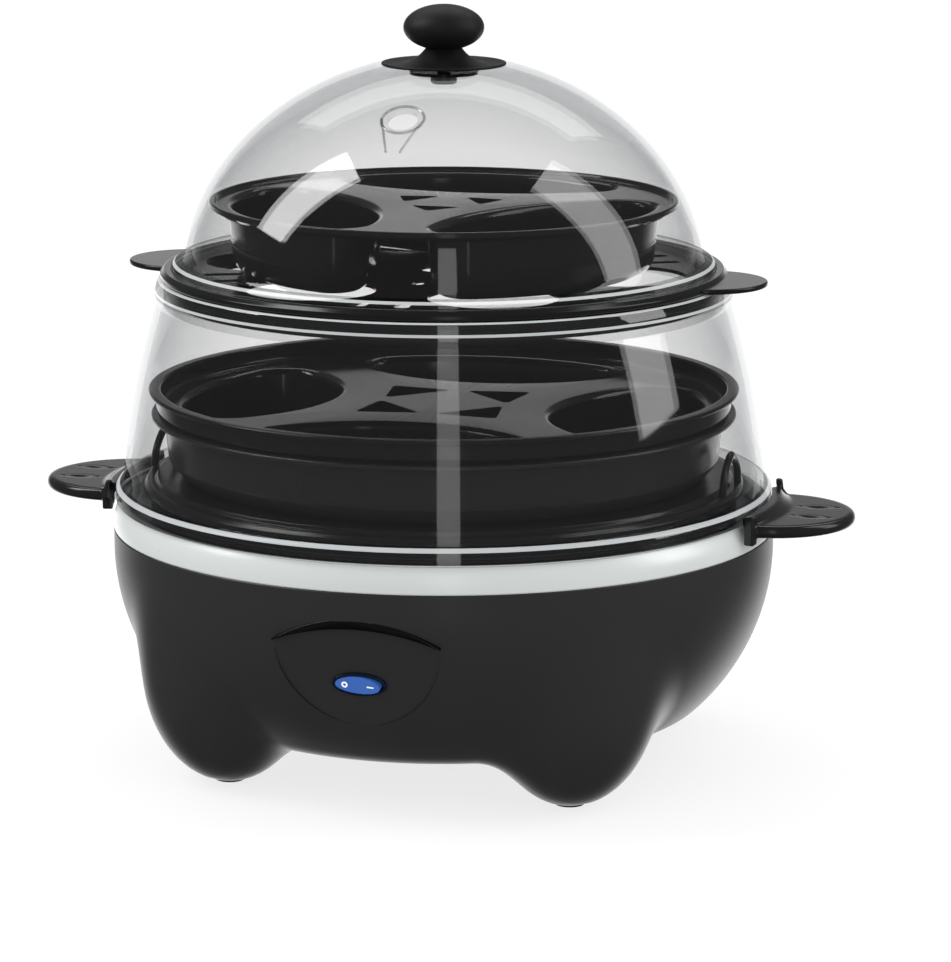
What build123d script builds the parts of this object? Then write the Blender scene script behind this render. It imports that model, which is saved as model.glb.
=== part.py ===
from build123d import *
import os
from math import acos, atan2, cos, degrees, radians, sin, sqrt

os.makedirs("parts", exist_ok=True)

# Frame: millimetres, +Z up, front of the appliance toward -Y, handles on +X and -X,
# origin on the table under the middle of the base.

# ---------------------------------------------------------------- driving sizes
OVERALL_HEIGHT = 228.6
WALL = 2.6

# base housing, a shell turned about Z with four blended legs
SHELL_ARC_R = 66.0
SHELL_ARC_CENTRE_R = 34.3
SHELL_ARC_CENTRE_Z = 66.0
SHELL_BOTTOM_Z = 13.5
SHELL_TOP_Z = 71.3
FLOOR_TOP_Z = 16.5
SHELF_INNER_R = 88.0
SHELF_T = 3.0
LEG_CIRCLE_R = 74.0
LEG_Z = 36.0
LEG_HALF_WIDTH = 26.0
LEG_HALF_HEIGHT = 36.0
LEG_BLEND_R = 9.0
LEG_FLAT_Z = 0.8
LEG_ANGLES = [45, 135, 225, 315]

# flat switch panel cut into the front of the shell
PANEL_SLOPE = 0.277
PANEL_TIP_Z = 29.5
PANEL_TIP_Y = -89.3
PANEL_Z = 43.0
PANEL_TIP_V = -14.0
PANEL_CORNER_U = 25.0
PANEL_CORNER_V = 13.4
PANEL_TOP_V = 21.2

# rocker switch in the panel
ROCKER_HALF_LENGTH = 6.9
ROCKER_HALF_WIDTH = 2.75
ROCKER_PROUD = 1.1
ROCKER_PIVOT_DEPTH = 1.6
ROCKER_REST_TILT = -6.0
PIN_R = 0.7

# access cover, pads and screws under the base
COVER_R = 50.5
COVER_T = 1.8
ACCESS_R = 44.0
COVER_SCREW_CIRCLE_R = 47.2
SQUARE_ANGLES = [0, 90, 180, 270]
PAD_R = 4.4
PAD_H = 3.2

# trim ring and heating plate
RING_TOP_Z = 79.2
PLATE_FLANGE_Z = 73.0
PLATE_FLANGE_R = 95.8
PAN_R = 78.3
PAN_BOTTOM_Z = 65.0
STUD_CIRCLE_R = 84.0
STUD_ANGLES = [30, 150, 270]
ELEMENT_R = 50.0

# cord outlet at the rear
CORD_Z = 30.0
CORD_BORE_R = 3.1
CORD_SEAT_Y = 88.5

# lower tier
LOWER_TRAY_DECK_Z = 87.0
LOWER_TRAY_RIM_R = 91.0
BOWL_BOTTOM_Z = 87.3
BOWL_R = 84.8
BOWL_FLANGE_R = 88.6
BOWL_TOP_Z = 106.2
LOWER_DECK_Z = 108.1
LOWER_LIP_R = 89.4
LOWER_LIP_Z = 113.6
LOWER_CUP_BOTTOM_Z = 89.6
LOWER_DOME_FLANGE_R = 99.5
LOWER_DOME_BOTTOM_Z = 79.4
LOWER_DOME_TOP_Z = 147.0
DOME_WALL = 1.9

# side handles
HANDLE_TIP_X = 126.5
HANDLE_HALF_WIDTH = 25.0
HANDLE_ANGLE = 15.0

# upper tier
EGG_HOLE_CIRCLE_R = 55.0
EGG_HOLE_R = 19.0
EGG_WINDOW_CIRCLE_R = 67.0
EGG_WINDOW_ANGLE = 5.2
EGG_WINDOW_LENGTH = 12.0
EGG_WINDOW_WIDTH = 4.4
UPPER_TRAY_BOTTOM_Z = 147.3
UPPER_TRAY_DECK_Z = 149.0
UPPER_TRAY_RIM_R = 85.4
TAB_TIP_X = 99.0
TAB_HALF_WIDTH = 18.5
UPPER_CUP_BOTTOM_Z = 149.3
UPPER_DECK_Z = 169.2
UPPER_LIP_R = 70.45
UPPER_LIP_Z = 170.4
UPPER_CUP_ANGLES = [90, 210, 330]
LID_BOTTOM_Z = 149.7
LID_FLANGE_R = 81.6
LID_R = 78.13
LID_RISE = 65.09
LID_BASE_Z = 148.37
LID_POWER = 1.91
LID_BOSS_Z = 210.5
LID_WALL = 1.8

# knob
KNOB_R = 12.1
KNOB_CENTRE_Z = 221.75
KNOB_NECK_R = 5.2
KNOB_FOOT_R = 18.7


# ---------------------------------------------------------------- helpers
def profile_face(*edges):
    """Face in the X-Z plane from edges drawn as (radius, height)."""
    return Plane.XZ * make_face(list(edges))


def turned(*points):
    """Solid of revolution about Z from a closed (radius, height) outline."""
    return revolve(Plane.XZ * make_face(Polyline(*points, close=True)), Axis.Z)


def disc(radius, z0, z1, x=0.0, y=0.0):
    """Upright cylinder from z0 to z1."""
    return Pos(x, y, (z0 + z1) / 2) * Cylinder(radius, z1 - z0)


def block(x0, x1, y0, y1, z0, z1):
    """Box between two corners."""
    return Pos((x0 + x1) / 2, (y0 + y1) / 2, (z0 + z1) / 2) * Box(x1 - x0, y1 - y0, z1 - z0)


def polar(radius, angle):
    """Point on a circle about Z."""
    return radius * cos(radians(angle)), radius * sin(radians(angle))


def slab(face, z0, z1):
    """Prism of a flat face drawn in the X-Y plane, from z0 to z1."""
    return Pos(0, 0, z0) * extrude(face, amount=z1 - z0)


def sector(inner_r, outer_r, z0, z1, half_angle, centre_angle=0.0):
    """Piece of a ring, symmetric about centre_angle."""
    reach = outer_r * 1.6
    corner = reach * cos(radians(half_angle)), reach * sin(radians(half_angle))
    wedge = make_face(Polyline((0, 0), corner, (corner[0], -corner[1]), close=True))
    ring = disc(outer_r, z0, z1) - disc(inner_r, z0 - 1, z1 + 1)
    return Rot(0, 0, centre_angle) * (ring & slab(wedge, z0, z1))


def as_solids(shape):
    """Plain list of the solids in a shape."""
    return list(shape.solids())


def save(name, *shapes):
    """Write one named piece; several solids stay separate in it."""
    solids = []
    for shape in shapes:
        solids.extend(as_solids(shape))
    if len(solids) == 1:
        body = solids[0]
    else:
        body = Compound(children=solids)
    body.label = name
    export_step(body, "parts/" + name + ".step")


def shell_radius(z, arc_r=SHELL_ARC_R):
    """Radius of the round housing at a height."""
    return SHELL_ARC_CENTRE_R + sqrt(arc_r**2 - (SHELL_ARC_CENTRE_Z - z) ** 2)


def shell_solid(arc_r, z_bottom, z_top):
    """Round bowl-shaped solid: flat bottom, one large arc, short upright rim."""
    r_max = SHELL_ARC_CENTRE_R + arc_r
    mid_angle = radians(25)
    mid = (
        SHELL_ARC_CENTRE_R + arc_r * cos(mid_angle),
        SHELL_ARC_CENTRE_Z - arc_r * sin(mid_angle),
    )
    start = (shell_radius(z_bottom, arc_r), z_bottom)
    return revolve(
        profile_face(
            Line((0, z_bottom), start),
            ThreePointArc(start, mid, (r_max, SHELL_ARC_CENTRE_Z)),
            Line((r_max, SHELL_ARC_CENTRE_Z), (r_max, z_top)),
            Line((r_max, z_top), (0, z_top)),
            Line((0, z_top), (0, z_bottom)),
        ),
        Axis.Z,
    )


def ellipsoid(half_width, half_height):
    """Solid ellipsoid of revolution about Z, centred on the origin."""
    return revolve(
        profile_face(
            EllipticalCenterArc((0, 0), half_width, half_height, start_angle=-90, arc_size=180),
            Line((0, half_height), (0, -half_height)),
        ),
        Axis.Z,
    )


def hexagon(across_flats, height):
    """Hexagonal prism standing on the X-Y plane."""
    return extrude(RegularPolygon(across_flats / 2, 6, major_radius=False), amount=height)


# ---------------------------------------------------------------- switch panel plane
PANEL_TILT = atan2(PANEL_SLOPE, 1.0)
PANEL_Y = PANEL_TIP_Y - PANEL_SLOPE * (PANEL_Z - PANEL_TIP_Z)
PANEL_NORMAL = (0, -cos(PANEL_TILT), -sin(PANEL_TILT))
PANEL_PLANE = Plane(origin=(0, PANEL_Y, PANEL_Z), x_dir=(1, 0, 0), z_dir=PANEL_NORMAL)


def on_panel(shape):
    """Place a shape built about the origin so that its Z points out of the panel."""
    return PANEL_PLANE.location * shape


def panel_outline():
    """Shield outline of the panel: blunt tip below, shallow arch above."""
    corner = (PANEL_CORNER_U, PANEL_CORNER_V)
    left = (-PANEL_CORNER_U, PANEL_CORNER_V)
    return make_face(
        [
            ThreePointArc(left, (0, PANEL_TOP_V), corner),
            Spline(corner, (22.2, 0), (15.2, -8.6), (0, PANEL_TIP_V)),
            Spline((0, PANEL_TIP_V), (-15.2, -8.6), (-22.2, 0), left),
        ]
    )


def oval(half_length, half_width, w0, w1):
    """Elliptical prism between two heights above the panel plane."""
    return slab(Ellipse(half_length, half_width), w0, w1)


# ---------------------------------------------------------------- base
def make_housing():
    outer = shell_solid(SHELL_ARC_R, SHELL_BOTTOM_Z, SHELL_TOP_Z)
    outer = fillet(outer.edges().group_by(Axis.Z)[0], 4)
    for angle in LEG_ANGLES:
        x, y = polar(LEG_CIRCLE_R, angle)
        outer += Pos(x, y, LEG_Z) * ellipsoid(LEG_HALF_WIDTH, LEG_HALF_HEIGHT)
    seams = outer.edges().filter_by(lambda e: e.geom_type != GeomType.CIRCLE)
    seams = seams.filter_by(lambda e: e.bounding_box().max.Z < 60)
    outer = fillet(seams, LEG_BLEND_R)
    outer -= block(-200, 200, -200, 200, -10, LEG_FLAT_Z)
    outer -= block(-200, 200, -200, 200, SHELL_TOP_Z, SHELL_TOP_Z + 20)

    # recessed flat panel at the front
    outer -= on_panel(slab(panel_outline(), 0, 15))

    # hollow inside, kept a wall away from the panel
    inner = shell_solid(SHELL_ARC_R - WALL, FLOOR_TOP_Z, SHELL_TOP_Z - SHELF_T)
    for angle in LEG_ANGLES:
        x, y = polar(LEG_CIRCLE_R, angle)
        pocket = Pos(x, y, LEG_Z) * ellipsoid(LEG_HALF_WIDTH - 3, LEG_HALF_HEIGHT - 5.5)
        inner += pocket & block(-200, 200, -200, 200, 0, SHELL_TOP_Z - SHELF_T)
    inner -= on_panel(Pos(0, 0, 50 - WALL) * Box(60, 110, 100))
    inner += disc(SHELF_INNER_R, SHELL_TOP_Z - SHELF_T - 1, SHELL_TOP_Z + 1)
    housing = outer - inner

    # access opening with a seat for the cover
    housing -= disc(ACCESS_R, SHELL_BOTTOM_Z - 1, FLOOR_TOP_Z + 1)
    housing -= disc(COVER_R + 0.3, SHELL_BOTTOM_Z - 1, SHELL_BOTTOM_Z + COVER_T)
    for angle in SQUARE_ANGLES:
        x, y = polar(COVER_SCREW_CIRCLE_R, angle)
        housing += disc(3.2, FLOOR_TOP_Z, 25, x, y)
        housing -= disc(1.5, SHELL_BOTTOM_Z, 24, x, y)

    # lugs that the heating plate studs pass through
    for angle in STUD_ANGLES:
        lug = block(STUD_CIRCLE_R - 4.5, 99, -6, 6, 58, 62)
        lug &= shell_solid(SHELL_ARC_R - 1, FLOOR_TOP_Z, SHELL_TOP_Z)
        lug -= disc(2.1, 50, 70, STUD_CIRCLE_R)
        housing += Rot(0, 0, angle) * lug

    # foot pad pockets
    for angle in LEG_ANGLES:
        x, y = polar(LEG_CIRCLE_R, angle)
        housing -= disc(PAD_R, -1, PAD_H, x, y)

    # cord outlet: boss inside, round recess outside
    boss = Pos(0, CORD_SEAT_Y - 5.25, CORD_Z) * Rot(90, 0, 0) * Cylinder(9, 10.5)
    housing += boss
    housing -= Pos(0, CORD_SEAT_Y + 10, CORD_Z) * Rot(90, 0, 0) * Cylinder(8.4, 20)
    housing -= Pos(0, CORD_SEAT_Y - 5, CORD_Z) * Rot(90, 0, 0) * Cylinder(5.4, 20)

    # switch opening through the panel
    housing -= on_panel(oval(7.85, 3.4, -8, 4))
    return housing


def make_cover():
    cover = disc(COVER_R, SHELL_BOTTOM_Z, SHELL_BOTTOM_Z + COVER_T)
    cover = chamfer(cover.edges().group_by(Axis.Z)[0], 0.4)
    for angle in SQUARE_ANGLES:
        x, y = polar(COVER_SCREW_CIRCLE_R, angle)
        cover -= disc(1.6, SHELL_BOTTOM_Z - 1, SHELL_BOTTOM_Z + COVER_T + 1, x, y)
        cover -= disc(2.5, SHELL_BOTTOM_Z - 1, SHELL_BOTTOM_Z + 1.0, x, y)
    for ring_r in (14, 20, 26, 32):
        for k in range(12):
            x, y = polar(ring_r, 30 * k + (15 if ring_r in (20, 32) else 0))
            cover -= disc(1.3, SHELL_BOTTOM_Z - 1, SHELL_BOTTOM_Z + COVER_T + 1, x, y)
    return cover


def make_cover_screws():
    screws = []
    for angle in SQUARE_ANGLES:
        x, y = polar(COVER_SCREW_CIRCLE_R, angle)
        screw = disc(2.4, SHELL_BOTTOM_Z + 0.1, SHELL_BOTTOM_Z + 1.0, x, y)
        screw += disc(1.5, SHELL_BOTTOM_Z + 1.0, 23, x, y)
        screw -= block(x - 0.3, x + 0.3, y - 1.8, y + 1.8, SHELL_BOTTOM_Z, SHELL_BOTTOM_Z + 0.5)
        screw -= block(x - 1.8, x + 1.8, y - 0.3, y + 0.3, SHELL_BOTTOM_Z, SHELL_BOTTOM_Z + 0.5)
        screws.append(screw)
    return screws


def make_pads():
    pads = []
    for angle in LEG_ANGLES:
        x, y = polar(LEG_CIRCLE_R, angle)
        pad = disc(PAD_R, 0, PAD_H, x, y)
        pads.append(fillet(pad.edges().group_by(Axis.Z)[0], 0.3))
    return pads


def make_ring():
    return revolve(
        profile_face(
            Line((89, SHELL_TOP_Z), (100.0, SHELL_TOP_Z)),
            Line((100.0, SHELL_TOP_Z), (100.3, SHELL_TOP_Z + 0.4)),
            ThreePointArc((100.3, SHELL_TOP_Z + 0.4), (99.9, 75.8), (98.7, RING_TOP_Z - 0.4)),
            Line((98.7, RING_TOP_Z - 0.4), (98.3, RING_TOP_Z)),
            Line((98.3, RING_TOP_Z), (96.1, RING_TOP_Z)),
            Line((96.1, RING_TOP_Z), (96.1, PLATE_FLANGE_Z)),
            Line((96.1, PLATE_FLANGE_Z), (89, PLATE_FLANGE_Z)),
            Line((89, PLATE_FLANGE_Z), (89, SHELL_TOP_Z)),
        ),
        Axis.Z,
    )


def make_plate():
    plate = turned(
        (0, PAN_BOTTOM_Z),
        (PAN_R - 2, PAN_BOTTOM_Z),
        (PAN_R, PAN_BOTTOM_Z + 2),
        (PAN_R, PLATE_FLANGE_Z),
        (PLATE_FLANGE_R, PLATE_FLANGE_Z),
        (PLATE_FLANGE_R, PLATE_FLANGE_Z + 1.2),
        (PAN_R - 1.6, PLATE_FLANGE_Z + 1.2),
        (PAN_R - 1.6, PAN_BOTTOM_Z + 3),
        (PAN_R - 3, PAN_BOTTOM_Z + 1.8),
        (24, PAN_BOTTOM_Z + 1.8),
        (22.5, PAN_BOTTOM_Z + 2.8),
        (0, PAN_BOTTOM_Z + 2.8),
    )
    for k in range(3):
        x, y = polar(30, 30 + 120 * k)
        plate += disc(3, 49, PAN_BOTTOM_Z, x, y)
        plate -= disc(1.5, 48, 58, x, y)
    return plate


def make_plate_studs():
    studs = []
    for angle in STUD_ANGLES:
        x, y = polar(STUD_CIRCLE_R, angle)
        studs.append(disc(2.0, 53, PLATE_FLANGE_Z, x, y))
    return studs


def make_stud_nuts():
    nuts = []
    for angle in STUD_ANGLES:
        x, y = polar(STUD_CIRCLE_R, angle)
        nuts.append(Pos(x, y, 54.8) * (hexagon(7, 3.2) - disc(2.0, -1, 5)))
    return nuts


def make_element():
    ring = disc(ELEMENT_R + 4, 57, PAN_BOTTOM_Z) - disc(ELEMENT_R - 4, 56, PAN_BOTTOM_Z + 1)
    ring = fillet(ring.edges().group_by(Axis.Z)[0], 2.5)
    gap = slab(make_face(Polyline((0, 0), (-16, 70), (16, 70), close=True)), 50, 70)
    element = ring - gap
    for angle in (105.5, 74.5):
        x, y = polar(ELEMENT_R, angle)
        element += disc(2, 43, 60, x, y)
    return element


def make_heat_shield():
    shield = turned((0, 48), (60.6, 48), (62, 49.4), (62, 55), (61, 55), (61, 49.6), (60.4, 49), (0, 49))
    shield -= disc(11, 40, 60)
    for angle in (105.5, 74.5):
        x, y = polar(ELEMENT_R, angle)
        shield -= disc(4, 40, 60, x, y)
    for k in range(3):
        x, y = polar(30, 30 + 120 * k)
        shield -= disc(1.7, 40, 60, x, y)
    for k in range(6):
        x, y = polar(46, 60 * k)
        shield -= disc(3, 40, 60, x, y)
    return shield


def make_shield_screws():
    screws = []
    for k in range(3):
        x, y = polar(30, 30 + 120 * k)
        screw = disc(2.8, 46.2, 48, x, y) + disc(1.5, 48, 56, x, y)
        screw -= block(x - 2, x + 2, y - 0.35, y + 0.35, 46, 46.9)
        screws.append(screw)
    return screws


def make_thermostat():
    body = disc(8, 58.5, PAN_BOTTOM_Z) + disc(6.5, 55, 58.5)
    for side in (-1, 1):
        body += block(side * 4 - 0.4, side * 4 + 0.4, -2.4, 2.4, 46, 55)
    return body


def make_thermal_fuse():
    fuse = Pos(0, 20, 62.2) * Rot(0, 90, 0) * Cylinder(2.0, 12)
    fuse += Pos(0, 20, 62.2) * Rot(0, 90, 0) * Cylinder(0.5, 26)
    fuse += block(-2.5, 2.5, 18.5, 21.5, 62, PAN_BOTTOM_Z)
    return fuse


def make_terminal_block():
    body = block(-12, 12, 53, 64, FLOOR_TOP_Z, FLOOR_TOP_Z + 9)
    for x in (-7, 0, 7):
        body -= disc(1.8, FLOOR_TOP_Z + 4, FLOOR_TOP_Z + 12, x, 58.5)
        body -= Pos(x, 58.5, FLOOR_TOP_Z + 3.5) * Rot(90, 0, 0) * Cylinder(1.2, 20)
    return body


def make_buzzer():
    can = disc(8.5, FLOOR_TOP_Z, FLOOR_TOP_Z + 8, 61, 0)
    can = fillet(can.edges().group_by(Axis.Z)[-1], 0.8)
    return can - disc(1.2, FLOOR_TOP_Z + 5, FLOOR_TOP_Z + 12, 61, 0)


def make_cord_gland():
    outline = [
        (CORD_BORE_R, CORD_SEAT_Y + 5),
        (5.4, CORD_SEAT_Y + 5),
        (7.6, CORD_SEAT_Y + 2.4),
        (7.6, CORD_SEAT_Y),
        (5.4, CORD_SEAT_Y),
        (5.4, CORD_SEAT_Y - 10.5),
        (7.2, CORD_SEAT_Y - 10.5),
        (6.2, CORD_SEAT_Y - 13),
        (CORD_BORE_R, CORD_SEAT_Y - 13),
    ]
    gland = revolve(Plane.XZ * make_face(Polyline(*outline, close=True)), Axis.Z)
    return Pos(0, 0, CORD_Z) * Rot(-90, 0, 0) * gland


# ---------------------------------------------------------------- switch
def make_switch_bezel():
    bezel = oval(8.15, 3.7, 0, 0.8)
    bezel = fillet(bezel.edges().group_by(Axis.Z)[-1], 0.35)
    bezel += oval(7.8, 3.35, -3.8, 0)
    bezel -= oval(7.25, 2.95, -5, 2)
    bezel -= Pos(0, 0, -ROCKER_PIVOT_DEPTH) * Rot(90, 0, 0) * Cylinder(PIN_R, 10)
    return on_panel(bezel)


def make_rocker_pin():
    pin = Pos(0, 0, -ROCKER_PIVOT_DEPTH) * Rot(90, 0, 0) * Cylinder(PIN_R, 6.6)
    return on_panel(pin)


def tilt_rocker(shape):
    """Turn a shape about the rocker pin into the switched-off position."""
    axis = Axis((0, 0, -ROCKER_PIVOT_DEPTH), (0, 1, 0))
    return on_panel(shape.rotate(axis, ROCKER_REST_TILT))


def make_rocker():
    rocker = oval(ROCKER_HALF_LENGTH, ROCKER_HALF_WIDTH, -1.4, ROCKER_PROUD + 0.6)
    saddle = Pos(0, 0, ROCKER_PROUD + 40) * Rot(90, 0, 0) * Cylinder(40, 20)
    rocker -= saddle
    rocker = fillet(rocker.edges().group_by(Axis.Z)[-1], 0.25)
    rocker += oval(3.4, 2.4, -3.4, -1.3)
    rocker -= Pos(0, 0, -ROCKER_PIVOT_DEPTH) * Rot(90, 0, 0) * Cylinder(PIN_R + 0.05, 10)
    for mark in rocker_mark_shapes():
        rocker -= mark
    return tilt_rocker(rocker)


def rocker_mark_shapes():
    """Ring and bar legend, let into the top of the rocker."""
    ring = disc(0.95, 0.9, 1.45, -4.0, 0) - disc(0.45, 0.8, 1.6, -4.0, 0)
    bar = block(2.9, 5.0, -0.2, 0.2, 0.9, 1.45)
    return [ring, bar]


def make_rocker_marks():
    return [tilt_rocker(mark) for mark in rocker_mark_shapes()]


def make_switch_body():
    body = slab(Rectangle(17, 9.5), -14, -3.8)
    body -= oval(7.25, 2.95, -6.2, -3)
    body -= disc(1.5, -12, -4, 0, 0)
    return on_panel(body)


def make_switch_lamp():
    return on_panel(disc(1.4, -12, -6.8))


def make_switch_terminals():
    return [on_panel(slab(Pos(x, 0) * Rectangle(0.8, 4.8), -21, -14)) for x in (-6, 0, 6)]


# ---------------------------------------------------------------- lower tier
def egg_deck_cuts(z0, z1):
    """Six egg holes with steam windows between them and a small centre hole."""
    cuts = [disc(7, z0, z1)]
    for k in range(6):
        x, y = polar(EGG_HOLE_CIRCLE_R, 60 * k)
        cuts.append(disc(EGG_HOLE_R, z0, z1, x, y))
        window = slab(SlotOverall(EGG_WINDOW_LENGTH, EGG_WINDOW_WIDTH), z0, z1)
        for side in (-1, 1):
            turn = Rot(0, 0, 30 + 60 * k + side * EGG_WINDOW_ANGLE)
            cuts.append(turn * Pos(EGG_WINDOW_CIRCLE_R, 0, 0) * window)
        slot = slab(SlotOverall(9, 3.4), z0, z1)
        cuts.append(Rot(0, 0, 30 + 60 * k) * Pos(27, 0, 0) * slot)
    return cuts


def make_lower_egg_deck():
    top = LOWER_TRAY_DECK_Z
    deck = turned((0, top - 2.0), (85.2, top - 2.0), (85.2, top), (0, top))
    for cut in egg_deck_cuts(top - 5, top + 2):
        deck -= cut
    return deck


def make_lower_egg_rim():
    top = LOWER_TRAY_DECK_Z
    return turned(
        (85.2, top - 2.0),
        (87.2, top - 3.6),
        (87.2, PLATE_FLANGE_Z + 1.5),
        (89.0, PLATE_FLANGE_Z + 1.5),
        (89.0, top - 4.4),
        (LOWER_TRAY_RIM_R, top - 4.4),
        (LOWER_TRAY_RIM_R, top - 2.6),
        (89.9, top - 1.4),
        (87.6, top - 1.4),
        (87.0, top),
        (85.2, top),
    )


def make_tray_loops():
    return [Pos(side * 88.75, 0, 0) * make_loop() for side in (-1, 1)]


def make_loop():
    """Upright arch that the tray is lifted by."""
    z_foot = LOWER_TRAY_DECK_Z - 1.4
    arch = [(-13, z_foot), (-10.5, 92), (0, 97.4), (10.5, 92), (13, z_foot)]
    outline = make_face([Spline(*arch), Line((13, z_foot), (-13, z_foot))])
    inside = [(-9.8, z_foot - 0.5), (-8.0, 90.6), (0, 94.6), (8.0, 90.6), (9.8, z_foot - 0.5)]
    opening = make_face([Spline(*inside), Line((9.8, z_foot - 0.5), (-9.8, z_foot - 0.5))])
    plate = extrude(Plane.YZ * outline, amount=1.1, both=True)
    hole = extrude(Plane.YZ * opening, amount=3, both=True)
    return plate - hole


def make_bowl():
    bowl = turned(
        (0, BOWL_BOTTOM_Z),
        (79.0, BOWL_BOTTOM_Z),
        (83.6, BOWL_BOTTOM_Z + 4.6),
        (BOWL_R, BOWL_TOP_Z - 1.6),
        (BOWL_FLANGE_R, BOWL_TOP_Z - 1.6),
        (BOWL_FLANGE_R, BOWL_TOP_Z),
        (BOWL_R - 1.7, BOWL_TOP_Z),
        (82.0, BOWL_BOTTOM_Z + 5.2),
        (78.4, BOWL_BOTTOM_Z + 1.6),
        (0, BOWL_BOTTOM_Z + 1.6),
    )
    return fillet(bowl.edges().group_by(Axis.Z)[-1].sort_by(SortBy.RADIUS)[-1], 0.6)


def cup_shell(outline, z_deck, z_bottom, wall, taper, foot_r):
    """Thin-walled cup hanging from z_deck down to z_bottom."""
    depth = z_deck - z_bottom
    outer = Pos(0, 0, z_deck) * extrude(outline, amount=-depth, taper=taper)
    outer = fillet(outer.edges().group_by(Axis.Z)[0], foot_r)
    inner_face = offset(outline, amount=-wall)
    inner = Pos(0, 0, z_deck + 0.05) * extrude(inner_face, amount=-(depth - wall), taper=taper)
    inner = fillet(inner.edges().group_by(Axis.Z)[0], foot_r - wall * 0.6)
    return outer, inner


def cup_outline(inner_r, outer_r, half_angle, corner_r):
    """Bean outline between two arcs, its middle on +X, with rounded ends."""
    x = outer_r * cos(radians(half_angle))
    y = outer_r * sin(radians(half_angle))
    face = make_face(
        [
            ThreePointArc((x, -y), (outer_r, 0), (x, y)),
            ThreePointArc((x, y), (inner_r, 0), (x, -y)),
        ]
    )
    return fillet(face.vertices(), corner_r)


def lower_cup():
    outline = cup_outline(33, 80, 37, 14)
    return cup_shell(outline, LOWER_DECK_Z, LOWER_CUP_BOTTOM_Z, 1.5, 8, 4)


def make_lower_poaching_deck():
    deck = LOWER_DECK_Z
    tray = turned(
        (0, deck - 1.6),
        (87.0, deck - 1.6),
        (87.0, LOWER_LIP_Z - 1.4),
        (LOWER_LIP_R, LOWER_LIP_Z - 1.4),
        (LOWER_LIP_R, LOWER_LIP_Z),
        (85.6, LOWER_LIP_Z),
        (85.2, deck),
        (0, deck),
    )
    outer, inner = lower_cup()
    for angle in SQUARE_ANGLES:
        tray -= Rot(0, 0, angle) * outer
    slot = make_face(Polyline((31, 0), (15, 12), (15, -12), close=True))
    slot = fillet(slot.vertices(), 0.8)
    for angle in LEG_ANGLES:
        tray -= Rot(0, 0, angle) * slab(slot, deck - 4, deck + 4)
    return tray


def make_lower_poaching_cups():
    outer, inner = lower_cup()
    return [Rot(0, 0, angle) * (outer - inner) for angle in SQUARE_ANGLES]


def make_lower_dome():
    top = LOWER_DOME_TOP_Z
    bottom = LOWER_DOME_BOTTOM_Z
    wall = DOME_WALL
    foot = (97.3, 84.9)
    belly = (93.5, 111.5)
    shoulder = (86.4, 139.6)
    dome = revolve(
        profile_face(
            Line((95.0, bottom), (LOWER_DOME_FLANGE_R, bottom)),
            Line((LOWER_DOME_FLANGE_R, bottom), (LOWER_DOME_FLANGE_R, 83.4)),
            ThreePointArc((LOWER_DOME_FLANGE_R, 83.4), (98.7, 84.4), foot),
            ThreePointArc(foot, belly, shoulder),
            ThreePointArc(shoulder, (86.9, 143.6), (86.2, top - 0.8)),
            ThreePointArc((86.2, top - 0.8), (85.3, top), (84.4, top - 0.8)),
            Line((84.4, top - 0.8), (84.4, 139.0)),
            ThreePointArc((84.4, 139.0), (belly[0] - wall, 111.0), (95.2, 86.0)),
            Line((95.2, 86.0), (95.0, bottom)),
        ),
        Axis.Z,
    )
    return dome


def make_side_handle(angle):
    """Bracket around the dome flange with a flat oval finger tab."""
    bracket = sector(100.6, 103.0, 73.4, 86.0, HANDLE_ANGLE)
    bracket += sector(LOWER_DOME_FLANGE_R, 101, 79.6, 83.2, HANDLE_ANGLE)
    bracket += sector(97.8, 103.0, 84.9, 86.6, HANDLE_ANGLE)
    for side in (-1, 1):
        bracket += sector(101.0, 103.0, 84, 89.0, 1.6, side * (HANDLE_ANGLE - 1.6))
    planform = Pos(102, 0) * Ellipse(HANDLE_TIP_X - 102, HANDLE_HALF_WIDTH)
    planform &= Pos(120, 0) * Rectangle(35, 80)
    tab = slab(planform, 76.6, 80.4)
    tab = fillet(tab.edges().group_by(Axis.Z)[-1].sort_by(Axis.X)[-1], 1.6)
    handle = bracket + (tab - disc(101.2, 70, 90))
    for side in (-1, 1):
        rib = Pos(112, side * 6.5, 80.3) * Rot(0, 0, side * 6) * Box(14, 1.6, 0.8)
        handle += rib
    return Rot(0, 0, angle) * handle


# ---------------------------------------------------------------- upper tier
def make_upper_egg_deck():
    z0 = UPPER_TRAY_BOTTOM_Z
    deck = turned((0, z0), (81.6, z0), (81.6, UPPER_TRAY_DECK_Z), (0, UPPER_TRAY_DECK_Z))
    for cut in egg_deck_cuts(z0 - 2, z0 + 4):
        deck -= cut
    return deck


def make_upper_egg_rim():
    z0 = UPPER_TRAY_BOTTOM_Z
    rim = turned(
        (81.6, 141.0),
        (83.2, 141.0),
        (83.6, z0),
        (UPPER_TRAY_RIM_R, z0),
        (UPPER_TRAY_RIM_R, z0 + 1.5),
        (84.2, z0 + 2.7),
        (82.4, z0 + 2.7),
        (81.6, UPPER_TRAY_DECK_Z),
    )
    planform = Pos(80, 0) * Ellipse(TAB_TIP_X - 80, TAB_HALF_WIDTH)
    planform &= Pos(100, 0) * Rectangle(34, 60)
    tab = slab(planform, z0, z0 + 1.6)
    for angle in (0, 180):
        rim += Rot(0, 0, angle) * tab
    return rim


def upper_cup():
    outline = cup_outline(21, 65, 51, 12)
    return cup_shell(outline, UPPER_DECK_Z, UPPER_CUP_BOTTOM_Z, 1.5, 5, 4)


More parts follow.
